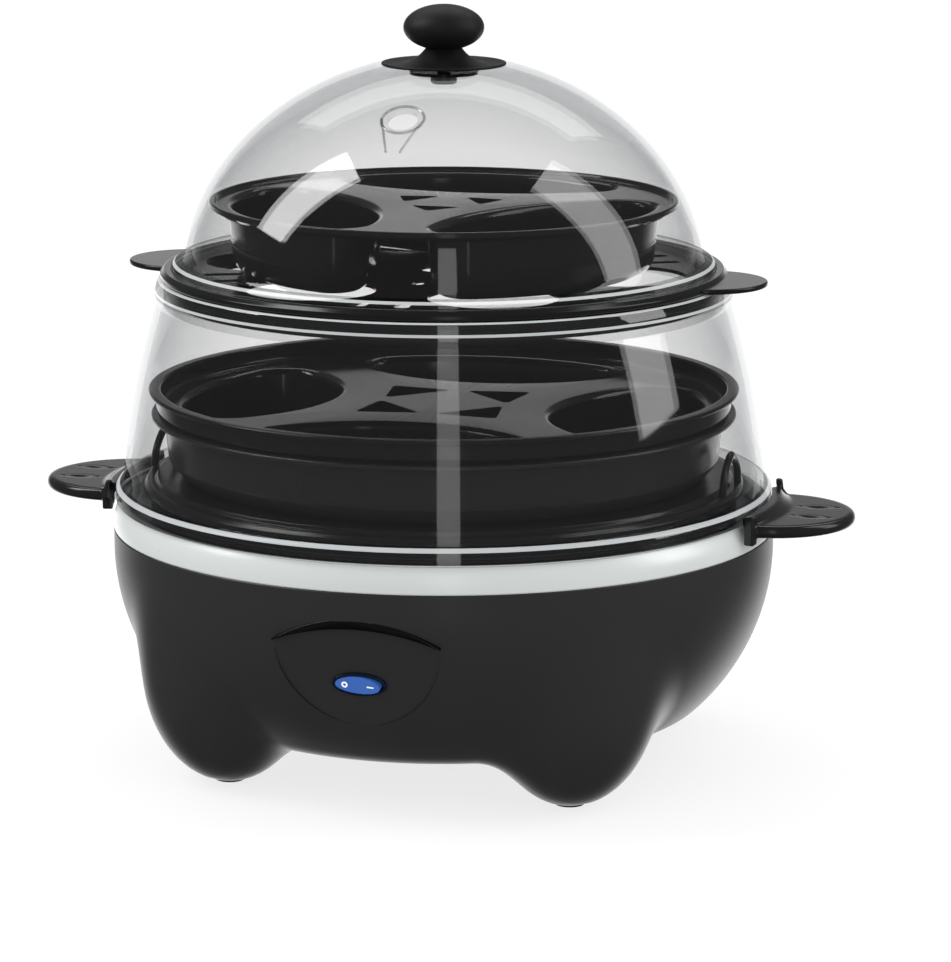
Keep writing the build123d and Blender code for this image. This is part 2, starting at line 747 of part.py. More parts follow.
def make_upper_poaching_deck():
    deck = UPPER_DECK_Z
    tray = turned(
        (0, deck - 1.6),
        (68.6, deck - 1.6),
        (UPPER_LIP_R, deck - 0.4),
        (UPPER_LIP_R, UPPER_LIP_Z),
        (69.0, UPPER_LIP_Z),
        (68.4, deck),
        (0, deck),
    )
    outer, inner = upper_cup()
    for angle in UPPER_CUP_ANGLES:
        tray -= Rot(0, 0, angle) * outer
    slot = make_face(Polyline((19, 0), (9, 8), (9, -8), close=True))
    slot = fillet(slot.vertices(), 0.7)
    for angle in UPPER_CUP_ANGLES:
        tray -= Rot(0, 0, angle + 180) * slab(slot, deck - 4, deck + 4)
    return tray


def make_upper_poaching_cups():
    outer, inner = upper_cup()
    return [Rot(0, 0, angle) * (outer - inner) for angle in UPPER_CUP_ANGLES]


def lid_radius(z, grow=0.0):
    """Radius of the lid's outer surface at a height, grown or shrunk along it."""
    share = max(0.0, 1.0 - (max(0.0, z - LID_BASE_Z) / (LID_RISE + grow)) ** LID_POWER)
    return (LID_R + grow) * share ** (1.0 / LID_POWER)


def lid_edge(grow, z0, z1, count=9):
    """Curved meridian of the lid between two heights."""
    points = []
    for k in range(count):
        turn = radians(90 * k / (count - 1))
        z = z0 + (z1 - z0) * sin(turn)
        points.append((lid_radius(z, grow), z))
    return Spline(*points)


def lid_solid(grow, z0, z1):
    """Solid inside one surface of the lid, flat at both ends."""
    r0 = lid_radius(z0, grow)
    r1 = lid_radius(z1, grow)
    return revolve(
        profile_face(
            lid_edge(grow, z0, z1),
            Line((r1, z1), (0, z1)),
            Line((0, z1), (0, z0)),
            Line((0, z0), (r0, z0)),
        ),
        Axis.Z,
    )


def make_upper_dome():
    outer = lid_solid(0, LID_BOTTOM_Z, LID_BOSS_Z)
    inner = lid_solid(-LID_WALL, LID_BOTTOM_Z, LID_BOSS_Z - LID_WALL)
    flange = turned(
        (70, LID_BOTTOM_Z),
        (LID_FLANGE_R - 0.4, LID_BOTTOM_Z),
        (LID_FLANGE_R, LID_BOTTOM_Z + 0.4),
        (LID_FLANGE_R, LID_BOTTOM_Z + 1.8),
        (LID_FLANGE_R - 1.0, LID_BOTTOM_Z + 2.6),
        (77.4, LID_BOTTOM_Z + 3.4),
        (70, LID_BOTTOM_Z + 3.4),
    )
    solid = outer + flange

    # teardrop steam vent: a raised collar with a round hole
    slope = degrees(atan2(56.7 - 46.0, 199.5 - 191.6))
    normal = (0, -cos(radians(slope)), sin(radians(slope)))
    place = Plane(origin=(0, -46.0, 199.5), x_dir=(1, 0, 0), z_dir=normal)
    drop = make_hull([*Circle(6.2).edges(), *(Pos(0, -12.4) * Circle(1.4)).edges()])
    collar = place.location * slab(drop, -6, 3)
    collar &= lid_solid(0.9, LID_BOTTOM_Z, LID_BOSS_Z)
    solid += collar
    dome = solid - inner
    dome -= place.location * slab(Circle(4.6), -8, 8)
    dome -= disc(2.0, LID_BOSS_Z - 8, LID_BOSS_Z + 2)
    return dome


def make_knob():
    ball_h = OVERALL_HEIGHT - KNOB_CENTRE_Z
    first = -degrees(acos(KNOB_NECK_R / KNOB_R))
    ball = []
    for k in range(13):
        turn = radians(first + (90 - first) * k / 12)
        ball.append((KNOB_R * cos(turn), KNOB_CENTRE_Z + ball_h * sin(turn)))
    ball[-1] = (0, OVERALL_HEIGHT)
    edge = KNOB_FOOT_R - 0.3
    knob = revolve(
        profile_face(
            Line((0, LID_BOSS_Z), (edge, LID_BOSS_Z)),
            ThreePointArc((edge, LID_BOSS_Z), (KNOB_FOOT_R, 211.0), (edge, 211.5)),
            ThreePointArc((edge, 211.5), (8.4, 212.6), ball[0]),
            Spline(*ball),
            Line((0, OVERALL_HEIGHT), (0, LID_BOSS_Z)),
        ),
        Axis.Z,
    )
    return knob - disc(2.0, LID_BOSS_Z - 1, 219)


def make_knob_washer():
    z1 = LID_BOSS_Z - LID_WALL
    return turned((2.0, z1 - 1.6), (10.3, z1 - 0.9), (10.3, z1), (2.0, z1))


def make_knob_screw():
    z1 = LID_BOSS_Z - LID_WALL - 1.6
    head = disc(4.0, z1 - 2.2, z1)
    head = fillet(head.edges().group_by(Axis.Z)[0], 0.8)
    head -= block(-2.4, 2.4, -0.4, 0.4, z1 - 3, z1 - 1.3)
    head -= block(-0.4, 0.4, -2.4, 2.4, z1 - 3, z1 - 1.3)
    return head + disc(2.0, z1, 218.6)


# ---------------------------------------------------------------- write the pieces
save("base_housing", make_housing())
save("base_cover", make_cover())
save("cover_screws", *make_cover_screws())
save("foot_pads", *make_pads())
save("trim_ring", make_ring())
save("heating_plate", make_plate())
save("plate_studs", *make_plate_studs())
save("stud_nuts", *make_stud_nuts())
save("heating_element", make_element())
save("heat_shield", make_heat_shield())
save("shield_screws", *make_shield_screws())
save("thermostat", make_thermostat())
save("thermal_fuse", make_thermal_fuse())
save("terminal_block", make_terminal_block())
save("buzzer", make_buzzer())
save("cord_gland", make_cord_gland())
save("switch_bezel", make_switch_bezel())
save("switch_body", make_switch_body())
save("switch_lamp", make_switch_lamp())
save("switch_terminals", *make_switch_terminals())
save("rocker_pin", make_rocker_pin())
save("switch_rocker", make_rocker())
save("rocker_marks", *make_rocker_marks())
save("lower_egg_deck", make_lower_egg_deck())
save("lower_egg_rim", make_lower_egg_rim())
save("tray_loops", *make_tray_loops())
save("omelet_bowl", make_bowl())
save("lower_poaching_deck", make_lower_poaching_deck())
save("lower_poaching_cups", *make_lower_poaching_cups())
save("lower_dome", make_lower_dome())
save("side_handle_right", make_side_handle(0))
save("side_handle_left", make_side_handle(180))
save("upper_egg_deck", make_upper_egg_deck())
save("upper_egg_rim", make_upper_egg_rim())
save("upper_poaching_deck", make_upper_poaching_deck())
save("upper_poaching_cups", *make_upper_poaching_cups())
save("upper_dome", make_upper_dome())
save("lid_knob", make_knob())
save("knob_washer", make_knob_washer())
save("knob_screw", make_knob_screw())
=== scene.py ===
import math

import bmesh
import bpy
import numpy as np
from mathutils import Matrix, Vector


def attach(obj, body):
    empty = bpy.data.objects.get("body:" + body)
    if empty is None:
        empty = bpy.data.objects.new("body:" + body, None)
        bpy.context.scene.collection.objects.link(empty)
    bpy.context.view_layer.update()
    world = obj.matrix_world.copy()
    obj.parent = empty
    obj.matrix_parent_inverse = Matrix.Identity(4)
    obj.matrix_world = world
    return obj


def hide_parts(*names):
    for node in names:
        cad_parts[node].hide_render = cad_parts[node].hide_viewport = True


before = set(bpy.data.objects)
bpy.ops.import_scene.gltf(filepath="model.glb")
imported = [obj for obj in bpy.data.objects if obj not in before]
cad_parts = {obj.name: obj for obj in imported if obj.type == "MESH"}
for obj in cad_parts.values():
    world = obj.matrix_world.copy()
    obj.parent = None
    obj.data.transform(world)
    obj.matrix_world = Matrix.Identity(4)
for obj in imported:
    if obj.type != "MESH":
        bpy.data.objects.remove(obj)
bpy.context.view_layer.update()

MM = 0.001
STEPS = 256

# ---------------------------------------------------------------- sizes, in millimetres
SHELL_ARC_R = 66.0
SHELL_CENTRE_R = 34.3
SHELL_CENTRE_Z = 66.0
SHELL_BOTTOM_Z = 13.5
FLOOR_TOP_Z = 16.5
SHELL_TOP_Z = 71.3
SHELF_INNER_R = 88.0
SHELF_T = 3.0
WALL = 2.6
ACCESS_R = 44.0
COVER_R = 50.5
COVER_T = 1.8
LEG_CIRCLE_R = 74.0
LEG_Z = 36.0
LEG_HALF_WIDTH = 26.0
LEG_HALF_HEIGHT = 36.0
LEG_FLAT_Z = 0.8
LEG_ANGLES = (45, 135, 225, 315)
LEG_BLEND = 8.0

PANEL_SLOPE = 0.277
PANEL_TIP_Y = -89.3
PANEL_TIP_Z = 29.5
PANEL_Z = 43.0
PANEL_TILT = math.atan(PANEL_SLOPE)
PANEL_Y = PANEL_TIP_Y - PANEL_SLOPE * (PANEL_Z - PANEL_TIP_Z)

CORD_Z = 30.0
CORD_SEAT_Y = 88.5

LID_R = 78.13
LID_RISE = 65.09
LID_BASE_Z = 148.37
LID_POWER = 1.91
LID_BOSS_Z = 210.5
LID_WALL = 1.8
LID_BOTTOM_Z = 149.7

VENT_CENTRE = (0, -46.0, 199.5)
VENT_SLOPE_COS = 0.594
VENT_SLOPE_SIN = 0.8045
VENT_HOLE_R = 4.6
VENT_RIM_R = 6.3

EGG_HOLE_CIRCLE_R = 55.0
EGG_HOLE_R = 19.0
CENTRE_HOLE_R = 7.0
OUTER_SLOT_R = 67.0
OUTER_SLOT_SWING = 5.2
INNER_SLOT_R = 27.0

LOWER_TRAY_DECK_Z = 87.0
LOWER_TRAY_RIM_R = 91.0
PLATE_FLANGE_Z = 73.0
LOWER_DECK_Z = 108.1
LOWER_LIP_R = 89.4
LOWER_LIP_Z = 113.6
LOWER_CUP_BOTTOM_Z = 89.6
UPPER_TRAY_BOTTOM_Z = 147.3
UPPER_TRAY_DECK_Z = 149.0
UPPER_TRAY_RIM_R = 85.4
TAB_TIP_X = 99.0
TAB_HALF_WIDTH = 18.5
UPPER_DECK_Z = 169.2
UPPER_LIP_R = 70.45
UPPER_LIP_Z = 170.4
UPPER_CUP_BOTTOM_Z = 149.3

HANDLE_TIP_X = 126.5
HANDLE_HALF_WIDTH = 25.0
HANDLE_ANGLE = 15.0
HANDLE_ROOT_R = 101.0
HANDLE_TAB_BOTTOM_Z = 76.6
HANDLE_TAB_MIDDLE_Z = 78.4
HANDLE_TAB_TOP_Z = 80.4
COLLAR_TOP_Z = 82.4
GROOVE_START_X = 107.5
GROOVE_LENGTH = 14.0
GROOVE_DEPTH = 0.95

# ---------------------------------------------------------------- camera and light
CAMERA_AZIMUTH = 15.0
CAMERA_PITCH = 11.86
CAMERA_DISTANCE_M = 1.31349
CAMERA_HEIGHT_M = 0.35933
CAMERA_LENS_MM = 164.95634
CAMERA_SHIFT = 0.03295
LIGHT_TARGET_M = (0, 0, 0.11)
SKY_STRENGTH = 1.06
GLOW_DIP = 30.0
GLOW_RANGE = (0.69, 0.95)
GLOW_STRENGTH = (0.1, 2.0)
GLOW_FADE_HEIGHTS = (-0.85, -0.4)
GLOW_FADE_FLOOR = 0.12
FLOOR_HALF_M = 6.0
FLOOR_GREY = 0.2
FLOOR_EMISSION = 0.79


# ---------------------------------------------------------------- materials
def srgb(level):
    """Linear value of an sRGB level between 0 and 255."""
    c = level / 255
    return c / 12.92 if c <= 0.04045 else ((c + 0.055) / 1.055) ** 2.4


def colour(r, g, b):
    return srgb(r), srgb(g), srgb(b), 1.0


def add_node(nt, kind, inputs=None):
    """New shader node with some of its sockets set."""
    made = nt.nodes.new(kind)
    for socket, value in (inputs or {}).items():
        made.inputs[socket].default_value = value
    return made


def textured(name, rgb, rough, rough_spread=0.06, scale=900.0, bump=0.06, metallic=0.0, specular=0.5):
    """Principled material with fine procedural grain in roughness and height."""
    mat = bpy.data.materials.new(name)
    mat.use_nodes = True
    nt = mat.node_tree
    shader = nt.nodes["Principled BSDF"]
    shader.inputs["Base Color"].default_value = colour(*rgb)
    shader.inputs["Metallic"].default_value = metallic
    shader.inputs["Specular IOR Level"].default_value = specular
    coords = add_node(nt, "ShaderNodeTexCoord")
    noise = add_node(nt, "ShaderNodeTexNoise", {"Scale": scale, "Detail": 3.0})
    nt.links.new(coords.outputs["Object"], noise.inputs["Vector"])
    limits = {"To Min": rough - rough_spread, "To Max": rough + rough_spread}
    spread = add_node(nt, "ShaderNodeMapRange", limits)
    nt.links.new(noise.outputs["Fac"], spread.inputs["Value"])
    nt.links.new(spread.outputs["Result"], shader.inputs["Roughness"])
    if bump:
        height = add_node(nt, "ShaderNodeBump", {"Strength": bump, "Distance": 0.0002})
        nt.links.new(noise.outputs["Fac"], height.inputs["Height"])
        nt.links.new(height.outputs["Normal"], shader.inputs["Normal"])
    return mat


def clear_plastic(name, level=0.96, edge=0.8, mirror=0.055):
    """See-through wall: a grey tint that goes from level to edge at grazing angles, under a mirror coat."""
    mat = bpy.data.materials.new(name)
    mat.use_nodes = True
    nt = mat.node_tree
    nt.nodes.remove(nt.nodes["Principled BSDF"])
    out = nt.nodes["Material Output"]
    clear = add_node(nt, "ShaderNodeBsdfTransparent")
    gloss = add_node(nt, "ShaderNodeBsdfGlossy", {"Roughness": 0.04, "Color": (1, 1, 1, 1)})
    facing = add_node(nt, "ShaderNodeLayerWeight", {"Blend": 0.5})
    ramp = add_node(nt, "ShaderNodeValToRGB")
    stops = ((0.25, (level, level, level, 1)), (1.0, (edge, edge * 1.005, edge * 1.01, 1)))
    for element, (position, tint) in zip(ramp.color_ramp.elements, stops):
        element.position = position
        element.color = tint
    nt.links.new(facing.outputs["Facing"], ramp.inputs["Fac"])
    nt.links.new(ramp.outputs["Color"], clear.inputs["Color"])
    grazing = add_node(nt, "ShaderNodeMath", {1: 4.0})
    grazing.operation = "POWER"
    nt.links.new(facing.outputs["Facing"], grazing.inputs[0])
    share = add_node(nt, "ShaderNodeMapRange", {"To Min": mirror, "To Max": 0.16})
    nt.links.new(grazing.outputs["Value"], share.inputs["Value"])
    mix = add_node(nt, "ShaderNodeMixShader")
    nt.links.new(share.outputs["Result"], mix.inputs["Fac"])
    nt.links.new(clear.outputs["BSDF"], mix.inputs[1])
    nt.links.new(gloss.outputs["BSDF"], mix.inputs[2])
    nt.links.new(mix.outputs["Shader"], out.inputs["Surface"])
    return mat


HOUSING = textured("housing_black", (39, 39, 40), 0.38, 0.04, 1400, 0.04, specular=0.45)
COVER = textured("cover_black", (48, 48, 50), 0.6, 0.08, 700, 0.15)
RUBBER = textured("rubber_black", (34, 34, 35), 0.75, 0.1, 500, 0.25, specular=0.3)
RING = textured("ring_metal", (212, 216, 215), 0.3, 0.05, 300, 0.02, metallic=0.2)
STEEL = textured("steel", (190, 192, 195), 0.3, 0.06, 260, 0.05, metallic=1.0)
SCREW = textured("screw_steel", (165, 167, 170), 0.35, 0.06, 900, 0.08, metallic=1.0)
ELEMENT = textured("element_alloy", (140, 141, 143), 0.5, 0.1, 400, 0.3, metallic=0.9)
BEIGE = textured("electric_beige", (208, 202, 180), 0.55, 0.08, 500, 0.1)
CERAMIC = textured("fuse_white", (226, 224, 216), 0.35, 0.06, 500, 0.05)
BRASS = textured("terminal_brass", (201, 170, 98), 0.34, 0.07, 700, 0.08, metallic=1.0)
LAMP = textured("lamp_amber", (236, 160, 90), 0.12, 0.03, 500, 0.0)
BEZEL = textured("bezel_navy", (10, 18, 38), 0.2, 0.04, 900, 0.02)
ROCKER = textured("rocker_blue", (52, 98, 178), 0.3, 0.05, 700, 0.03)
MARK = textured("mark_white", (246, 250, 255), 0.4, 0.05, 700, 0.0)
TRAY = textured("tray_black", (16, 16, 17), 0.12, 0.03, 500, 0.01)
BOWL = textured("bowl_black", (33, 33, 34), 0.24, 0.04, 600, 0.02)
EGG_TRAY = textured("egg_tray_black", (20, 20, 21), 0.17, 0.04, 600, 0.02, specular=0.4)
HANDLE = textured("handle_black", (24, 24, 25), 0.18, 0.03, 600, 0.02)
KNOB = textured("knob_black", (16, 16, 17), 0.55, 0.08, 900, 0.12, specular=0.35)
CLEAR = clear_plastic("dome_clear")
# Same clear plastic with a darker tint, painted shade, and a stronger mirror coat, for thick dome bands and
# the vent rim.
CLEAR_PAINTED_SHADE = clear_plastic("dome_clear_painted_shade", 0.8, 0.42, 0.1)
# Pale half-see-through material for dome corners: a painted highlight.
EDGE_PAINTED_HIGHLIGHT = textured("dome_edge_painted_highlight", (222, 226, 228), 0.3, 0.05, 500, 0.0)
EDGE_PAINTED_HIGHLIGHT.node_tree.nodes["Principled BSDF"].inputs["Alpha"].default_value = 0.6
BROW = textured("panel_gloss_black", (7, 7, 8), 0.06, 0.02, 500, 0.0, specular=0.6)

NODE_MATERIALS = {
    "base_housing": HOUSING, "base_cover": COVER, "cover_screws": SCREW, "foot_pads": RUBBER,
    "trim_ring": RING, "heating_plate": STEEL, "plate_studs": SCREW, "stud_nuts": SCREW,
    "heating_element": ELEMENT, "heat_shield": STEEL, "shield_screws": SCREW,
    "thermostat": BEIGE, "thermal_fuse": CERAMIC, "terminal_block": BEIGE, "buzzer": COVER,
    "cord_gland": RUBBER, "switch_bezel": BEZEL, "switch_body": COVER, "switch_lamp": LAMP,
    "switch_terminals": BRASS, "rocker_pin": SCREW, "switch_rocker": ROCKER,
    "rocker_marks": MARK, "lower_egg_deck": EGG_TRAY, "lower_egg_rim": EGG_TRAY,
    "tray_loops": EGG_TRAY, "omelet_bowl": TRAY, "lower_poaching_deck": TRAY,
    "lower_poaching_cups": TRAY, "lower_dome": CLEAR, "side_handle_right": HANDLE,
    "side_handle_left": HANDLE, "upper_egg_deck": EGG_TRAY, "upper_egg_rim": EGG_TRAY,
    "upper_poaching_deck": TRAY, "upper_poaching_cups": TRAY, "upper_dome": CLEAR,
    "lid_knob": KNOB, "knob_washer": HANDLE, "knob_screw": SCREW,
}
for node_name, node_material in NODE_MATERIALS.items():
    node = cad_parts[node_name]
    node.data.materials.clear()
    node.data.materials.append(node_material)


# ---------------------------------------------------------------- mesh helpers
def mesh_object(name, verts, faces, material, smooth=32.0):
    """Mesh object from millimetre vertices, smooth except along sharp edges."""
    mesh = bpy.data.meshes.new(name)
    mesh.from_pydata([tuple(c * MM for c in v) for v in verts], [], [tuple(f) for f in faces])
    mesh.validate()
    obj = bpy.data.objects.new(name, mesh)
    bpy.context.scene.collection.objects.link(obj)
    weld(obj, smooth)
    mesh.materials.append(material)
    return obj


def weld(obj, smooth=32.0):
    """Merge doubles, point the faces outward and mark sharp edges."""
    bm = bmesh.new()
    bm.from_mesh(obj.data)
    bmesh.ops.remove_doubles(bm, verts=bm.verts, dist=0.000004)
    bmesh.ops.dissolve_degenerate(bm, edges=bm.edges, dist=0.000004)
    bmesh.ops.recalc_face_normals(bm, faces=bm.faces)
    bm.to_mesh(obj.data)
    bm.free()
    obj.data.shade_smooth()
    obj.data.set_sharp_from_angle(angle=math.radians(smooth))


def rounded(points, count=5):
    """Closed outline from (r, z, fillet radius) corners, each fillet as a short arc."""
    out = []
    n = len(points)
    for i, (x, y, rad) in enumerate(points):
        p = Vector((x, y))
        if rad <= 0:
            out.append((x, y))
            continue
        a = Vector(points[i - 1][:2]) - p
        b = Vector(points[(i + 1) % n][:2]) - p
        half = a.angle(b) / 2
        cut = min(rad / math.tan(half), a.length * 0.49, b.length * 0.49)
        rad = cut * math.tan(half)
        centre = p + (a.normalized() + b.normalized()).normalized() * (rad / math.sin(half))
        start = p + a.normalized() * cut - centre
        end = p + b.normalized() * cut - centre
        turn = start.angle_signed(end)
        for k in range(count + 1):
            arm = start.copy()
            arm.rotate(Matrix.Rotation(-turn * k / count, 2))
            out.append(tuple(centre + arm))
    return out


def arc_through(a, b, c, count):
    """Points on the circle through three points, from a to c."""
    ax, ay = a
    bx, by = b
    cx, cy = c
    d = 2 * (ax * (by - cy) + bx * (cy - ay) + cx * (ay - by))
    sa, sb, sc = ax * ax + ay * ay, bx * bx + by * by, cx * cx + cy * cy
    ux = (sa * (by - cy) + sb * (cy - ay) + sc * (ay - by)) / d
    uy = (sa * (cx - bx) + sb * (ax - cx) + sc * (bx - ax)) / d
    first = math.atan2(ay - uy, ax - ux)
    mid = (math.atan2(by - uy, bx - ux) - first) % (2 * math.pi)
    last = (math.atan2(cy - uy, cx - ux) - first) % (2 * math.pi)
    if mid > last:
        last -= 2 * math.pi
    rad = math.hypot(ax - ux, ay - uy)
    return [
        (ux + rad * math.cos(first + last * k / count), uy + rad * math.sin(first + last * k / count))
        for k in range(count + 1)
    ]


def lathe(name, outline, material, steps=STEPS):
    """Closed (r, z) outline turned about Z."""
    n = len(outline)
    verts = []
    faces = []
    for i in range(steps):
        a = 2 * math.pi * i / steps
        for r, z in outline:
            verts.append((r * math.cos(a), r * math.sin(a), z))
    for i in range(steps):
        j = (i + 1) % steps
        for k in range(n):
            m = (k + 1) % n
            if outline[k][0] < 1e-6 and outline[m][0] < 1e-6:
                continue
            faces.append((i * n + k, j * n + k, j * n + m, i * n + m))
    return mesh_object(name, verts, faces, material)


def apply_modifiers(obj):
    """Bake an object's modifiers into its mesh."""
    deps = bpy.context.evaluated_depsgraph_get()
    deps.update()
    baked = bpy.data.meshes.new_from_object(obj.evaluated_get(deps))
    old = obj.data
    obj.modifiers.clear()
    obj.data = baked
    bpy.data.meshes.remove(old)


def boolean(obj, cutter, operation="DIFFERENCE"):
    """Cut or join another object's shape and drop that object."""
    mod = obj.modifiers.new("cut", "BOOLEAN")
    mod.operation = operation
    mod.solver = "EXACT"
    mod.object = cutter
    apply_modifiers(obj)
    bpy.data.objects.remove(cutter)


def cylinder_between(name, p0, p1, radius, steps=64):
    """Plain cutter cylinder between two points, in millimetres."""
    p0, p1 = Vector(p0), Vector(p1)
    axis = (p1 - p0).normalized()
    side = axis.orthogonal().normalized()
    other = axis.cross(side)
    verts = []
    for p in (p0, p1):
        for k in range(steps):
            a = 2 * math.pi * k / steps
            verts.append(tuple(p + side * radius * math.cos(a) + other * radius * math.sin(a)))
    faces = [tuple(range(steps))[::-1], tuple(range(steps, 2 * steps))]
    for k in range(steps):
        m = (k + 1) % steps
        faces.append((k, m, steps + m, steps + k))
    return mesh_object(name, verts, faces, HOUSING)


def prism_on_panel(name, outline, w0, w1, material=HOUSING):
    """Prism whose outline lies in the panel plane, between two heights above it."""
    normal = Vector((0, -math.cos(PANEL_TILT), -math.sin(PANEL_TILT)))
    up = Vector((0, -math.sin(PANEL_TILT), math.cos(PANEL_TILT)))
    origin = Vector((0, PANEL_Y, PANEL_Z))
    verts = []
    for w in (w0, w1):
        for u, v in outline:
            verts.append(tuple(origin + Vector((u, 0, 0)) + up * v + normal * w))
    n = len(outline)
    faces = [tuple(range(n))[::-1], tuple(range(n, 2 * n))]
    for k in range(n):
        m = (k + 1) % n
        faces.append((k, m, n + m, n + k))
    return mesh_object(name, verts, faces, material)


def loft(rings):
    """Closed solid through equal rings of points, as vertices and faces."""
    n = len(rings[0])
    verts = [p for ring in rings for p in ring]
    faces = [tuple(range(n))[::-1], tuple(range((len(rings) - 1) * n, len(rings) * n))]
    for i in range(len(rings) - 1):
        for k in range(n):
            m = (k + 1) % n
            faces.append((i * n + k, i * n + m, (i + 1) * n + m, (i + 1) * n + k))
    return verts, faces


def loft_object(name, solids, material, smooth=32.0):
    """One mesh object from several separate lofted solids."""
    verts = []
    faces = []
    for ring_list in solids:
        more_verts, more_faces = loft(ring_list)
        first = len(verts)
        verts += more_verts
        faces += [tuple(first + i for i in face) for face in more_faces]
    return mesh_object(name, verts, faces, material, smooth)


def turned_ring(outline, z, angle):
    """Outline in the XY plane, turned about Z and set at a height."""
    a = math.radians(angle)
    return [(x * math.cos(a) - y * math.sin(a), x * math.sin(a) + y * math.cos(a), z) for x, y in outline]


def ellipse_outline(half_x, half_y, cx=0.0, cy=0.0, count=64):
    return [
        (cx + half_x * math.cos(2 * math.pi * k / count), cy + half_y * math.sin(2 * math.pi * k / count))
        for k in range(count)
    ]


def circle_outline(radius, cx=0.0, cy=0.0):
    return ellipse_outline(radius, radius, cx, cy)


def tube_along(path, across, half_a, half_b, count=20):
    """Rings of an elliptical section swept along a path; across is the fixed side direction."""
    rings = []
    across = Vector(across).normalized()
    for i, p in enumerate(path):
        before = Vector(path[max(0, i - 1)])
        after = Vector(path[min(len(path) - 1, i + 1)])
        along = (after - before).normalized()
        up = along.cross(across).normalized()
        ring = []
        for k in range(count):
            a = 2 * math.pi * k / count
            ring.append(tuple(Vector(p) + across * half_a * math.cos(a) + up * half_b * math.sin(a)))
        rings.append(ring)
    return rings


def smooth_path(points, count=48):
    """Catmull-Rom curve through three-dimensional points."""
    pts = [Vector(p) for p in points]
    pts = [pts[0] * 2 - pts[1]] + pts + [pts[-1] * 2 - pts[-2]]
    out = []
    spans = len(pts) - 3
    for k in range(count + 1):
        t = k / count * spans
        i = min(int(t), spans - 1)
        t -= i
        p0, p1, p2, p3 = pts[i:i + 4]
        out.append(tuple(0.5 * (
            2 * p1 + (p2 - p0) * t + (2 * p0 - 5 * p1 + 4 * p2 - p3) * t * t
            + (3 * p1 - p0 - 3 * p2 + p3) * t**3
        )))
    return out


def flatten_shading(obj):
    """Let the large flat faces decide the normals along their softened rims."""
    mod = obj.modifiers.new("flat", "WEIGHTED_NORMAL")
    mod.keep_sharp = True
    mod.weight = 100
    apply_modifiers(obj)


def finish_piece(obj, body, slot, *nodes):
    """Hook a finished piece to its body and hide the CAD nodes it stands for; slot is not used."""
    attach(obj, body)
    if nodes:
        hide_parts(*nodes)
    return obj


# ---------------------------------------------------------------- base housing
def shell_radius(z, arc_r=SHELL_ARC_R):
    """Radius of the round housing at a height."""
    return SHELL_CENTRE_R + math.sqrt(arc_r**2 - (SHELL_CENTRE_Z - z) ** 2)


def smooth_min(a, b, k):
    """Smooth union of two distance fields."""
    h = np.clip(0.5 + 0.5 * (b - a) / k, 0, 1)
    return b * (1 - h) + a * h - k * h * (1 - h)


def ellipsoid_distance(x, y, z, half_width, half_height):
    """Near distance to an ellipsoid of revolution about Z."""
    k0 = np.sqrt((x * x + y * y) / half_width**2 + z * z / half_height**2)
    k1 = np.sqrt((x * x + y * y) / half_width**4 + z * z / half_height**4)
    return k0 * (k0 - 1) / np.maximum(k1, 1e-9)


def shell_distance(x, y, z, arc_r, bottom_z, corner):
    """Distance to the round bowl, with a rounded bottom edge."""
    r = np.hypot(x, y)
    arc = np.hypot(r - SHELL_CENTRE_R, z - SHELL_CENTRE_Z) - arc_r
    arc = np.where(z > SHELL_CENTRE_Z, r - SHELL_CENTRE_R - arc_r, arc)
    arc = np.where(r < SHELL_CENTRE_R, -arc_r, arc)
    floor = bottom_z - z
    return -smooth_min(-arc, -floor, corner)


def with_legs(body, x, y, z, half_width, half_height, blend):
    """Body field joined with the four bulbs of the legs."""
    for angle in LEG_ANGLES:
        lx = LEG_CIRCLE_R * math.cos(math.radians(angle))
        ly = LEG_CIRCLE_R * math.sin(math.radians(angle))
        leg = ellipsoid_distance(x - lx, y - ly, z - LEG_Z, half_width, half_height)
        body = smooth_min(body, leg, blend)
    return body


def outer_distance(x, y, z):
    """Outside of the housing, cut flat at the foot pads."""
    body = shell_distance(x, y, z, SHELL_ARC_R, SHELL_BOTTOM_Z, 5.0)
    body = with_legs(body, x, y, z, LEG_HALF_WIDTH, LEG_HALF_HEIGHT, LEG_BLEND)
    return np.maximum(body, LEG_FLAT_Z - z)


def inner_distance(x, y, z):
    """Hollow of the housing, kept a wall away from the switch panel."""
    body = shell_distance(x, y, z, SHELL_ARC_R - WALL, FLOOR_TOP_Z, 3.0)
    body = with_legs(body, x, y, z, LEG_HALF_WIDTH - 3, LEG_HALF_HEIGHT - 5.5, 3.0)
    behind = (PANEL_Y - y) * math.cos(PANEL_TILT) + (PANEL_Z - z) * math.sin(PANEL_TILT) + WALL
    return np.maximum(body, behind)


def displaced(distance, profile, normals, steps, reach):
    """Grid of points where each profile normal, turned about Z, leaves the field."""
    turn = np.arange(steps) * (2 * math.pi / steps)
    cos_t, sin_t = np.cos(turn)[:, None], np.sin(turn)[:, None]
    r, z = profile[:, 0][None, :], profile[:, 1][None, :]
    nr, nz = normals[:, 0][None, :], normals[:, 1][None, :]

    def at(t):
        rr = r + nr * t
        return distance(rr * cos_t, rr * sin_t, z + nz * t + 0 * cos_t)

    near, far = -8.0, reach
    low = np.full((steps, profile.shape[0]), near)
    high = np.full_like(low, far)
    found = np.zeros_like(low, bool)
    previous = np.full_like(low, far)
    for t in np.linspace(far, near, 90):
        here = np.full_like(low, t)
        inside = (at(here) <= 0) & ~found
        low = np.where(inside, here, low)
        high = np.where(inside, previous, high)
        found |= inside
        previous = here
    for _ in range(16):
        mid = (low + high) / 2
        inside = at(mid) <= 0
        low = np.where(inside, mid, low)
        high = np.where(inside, high, mid)
    t = (low + high) / 2
    rr = r + nr * t
    return rr * cos_t, rr * sin_t, z + nz * t


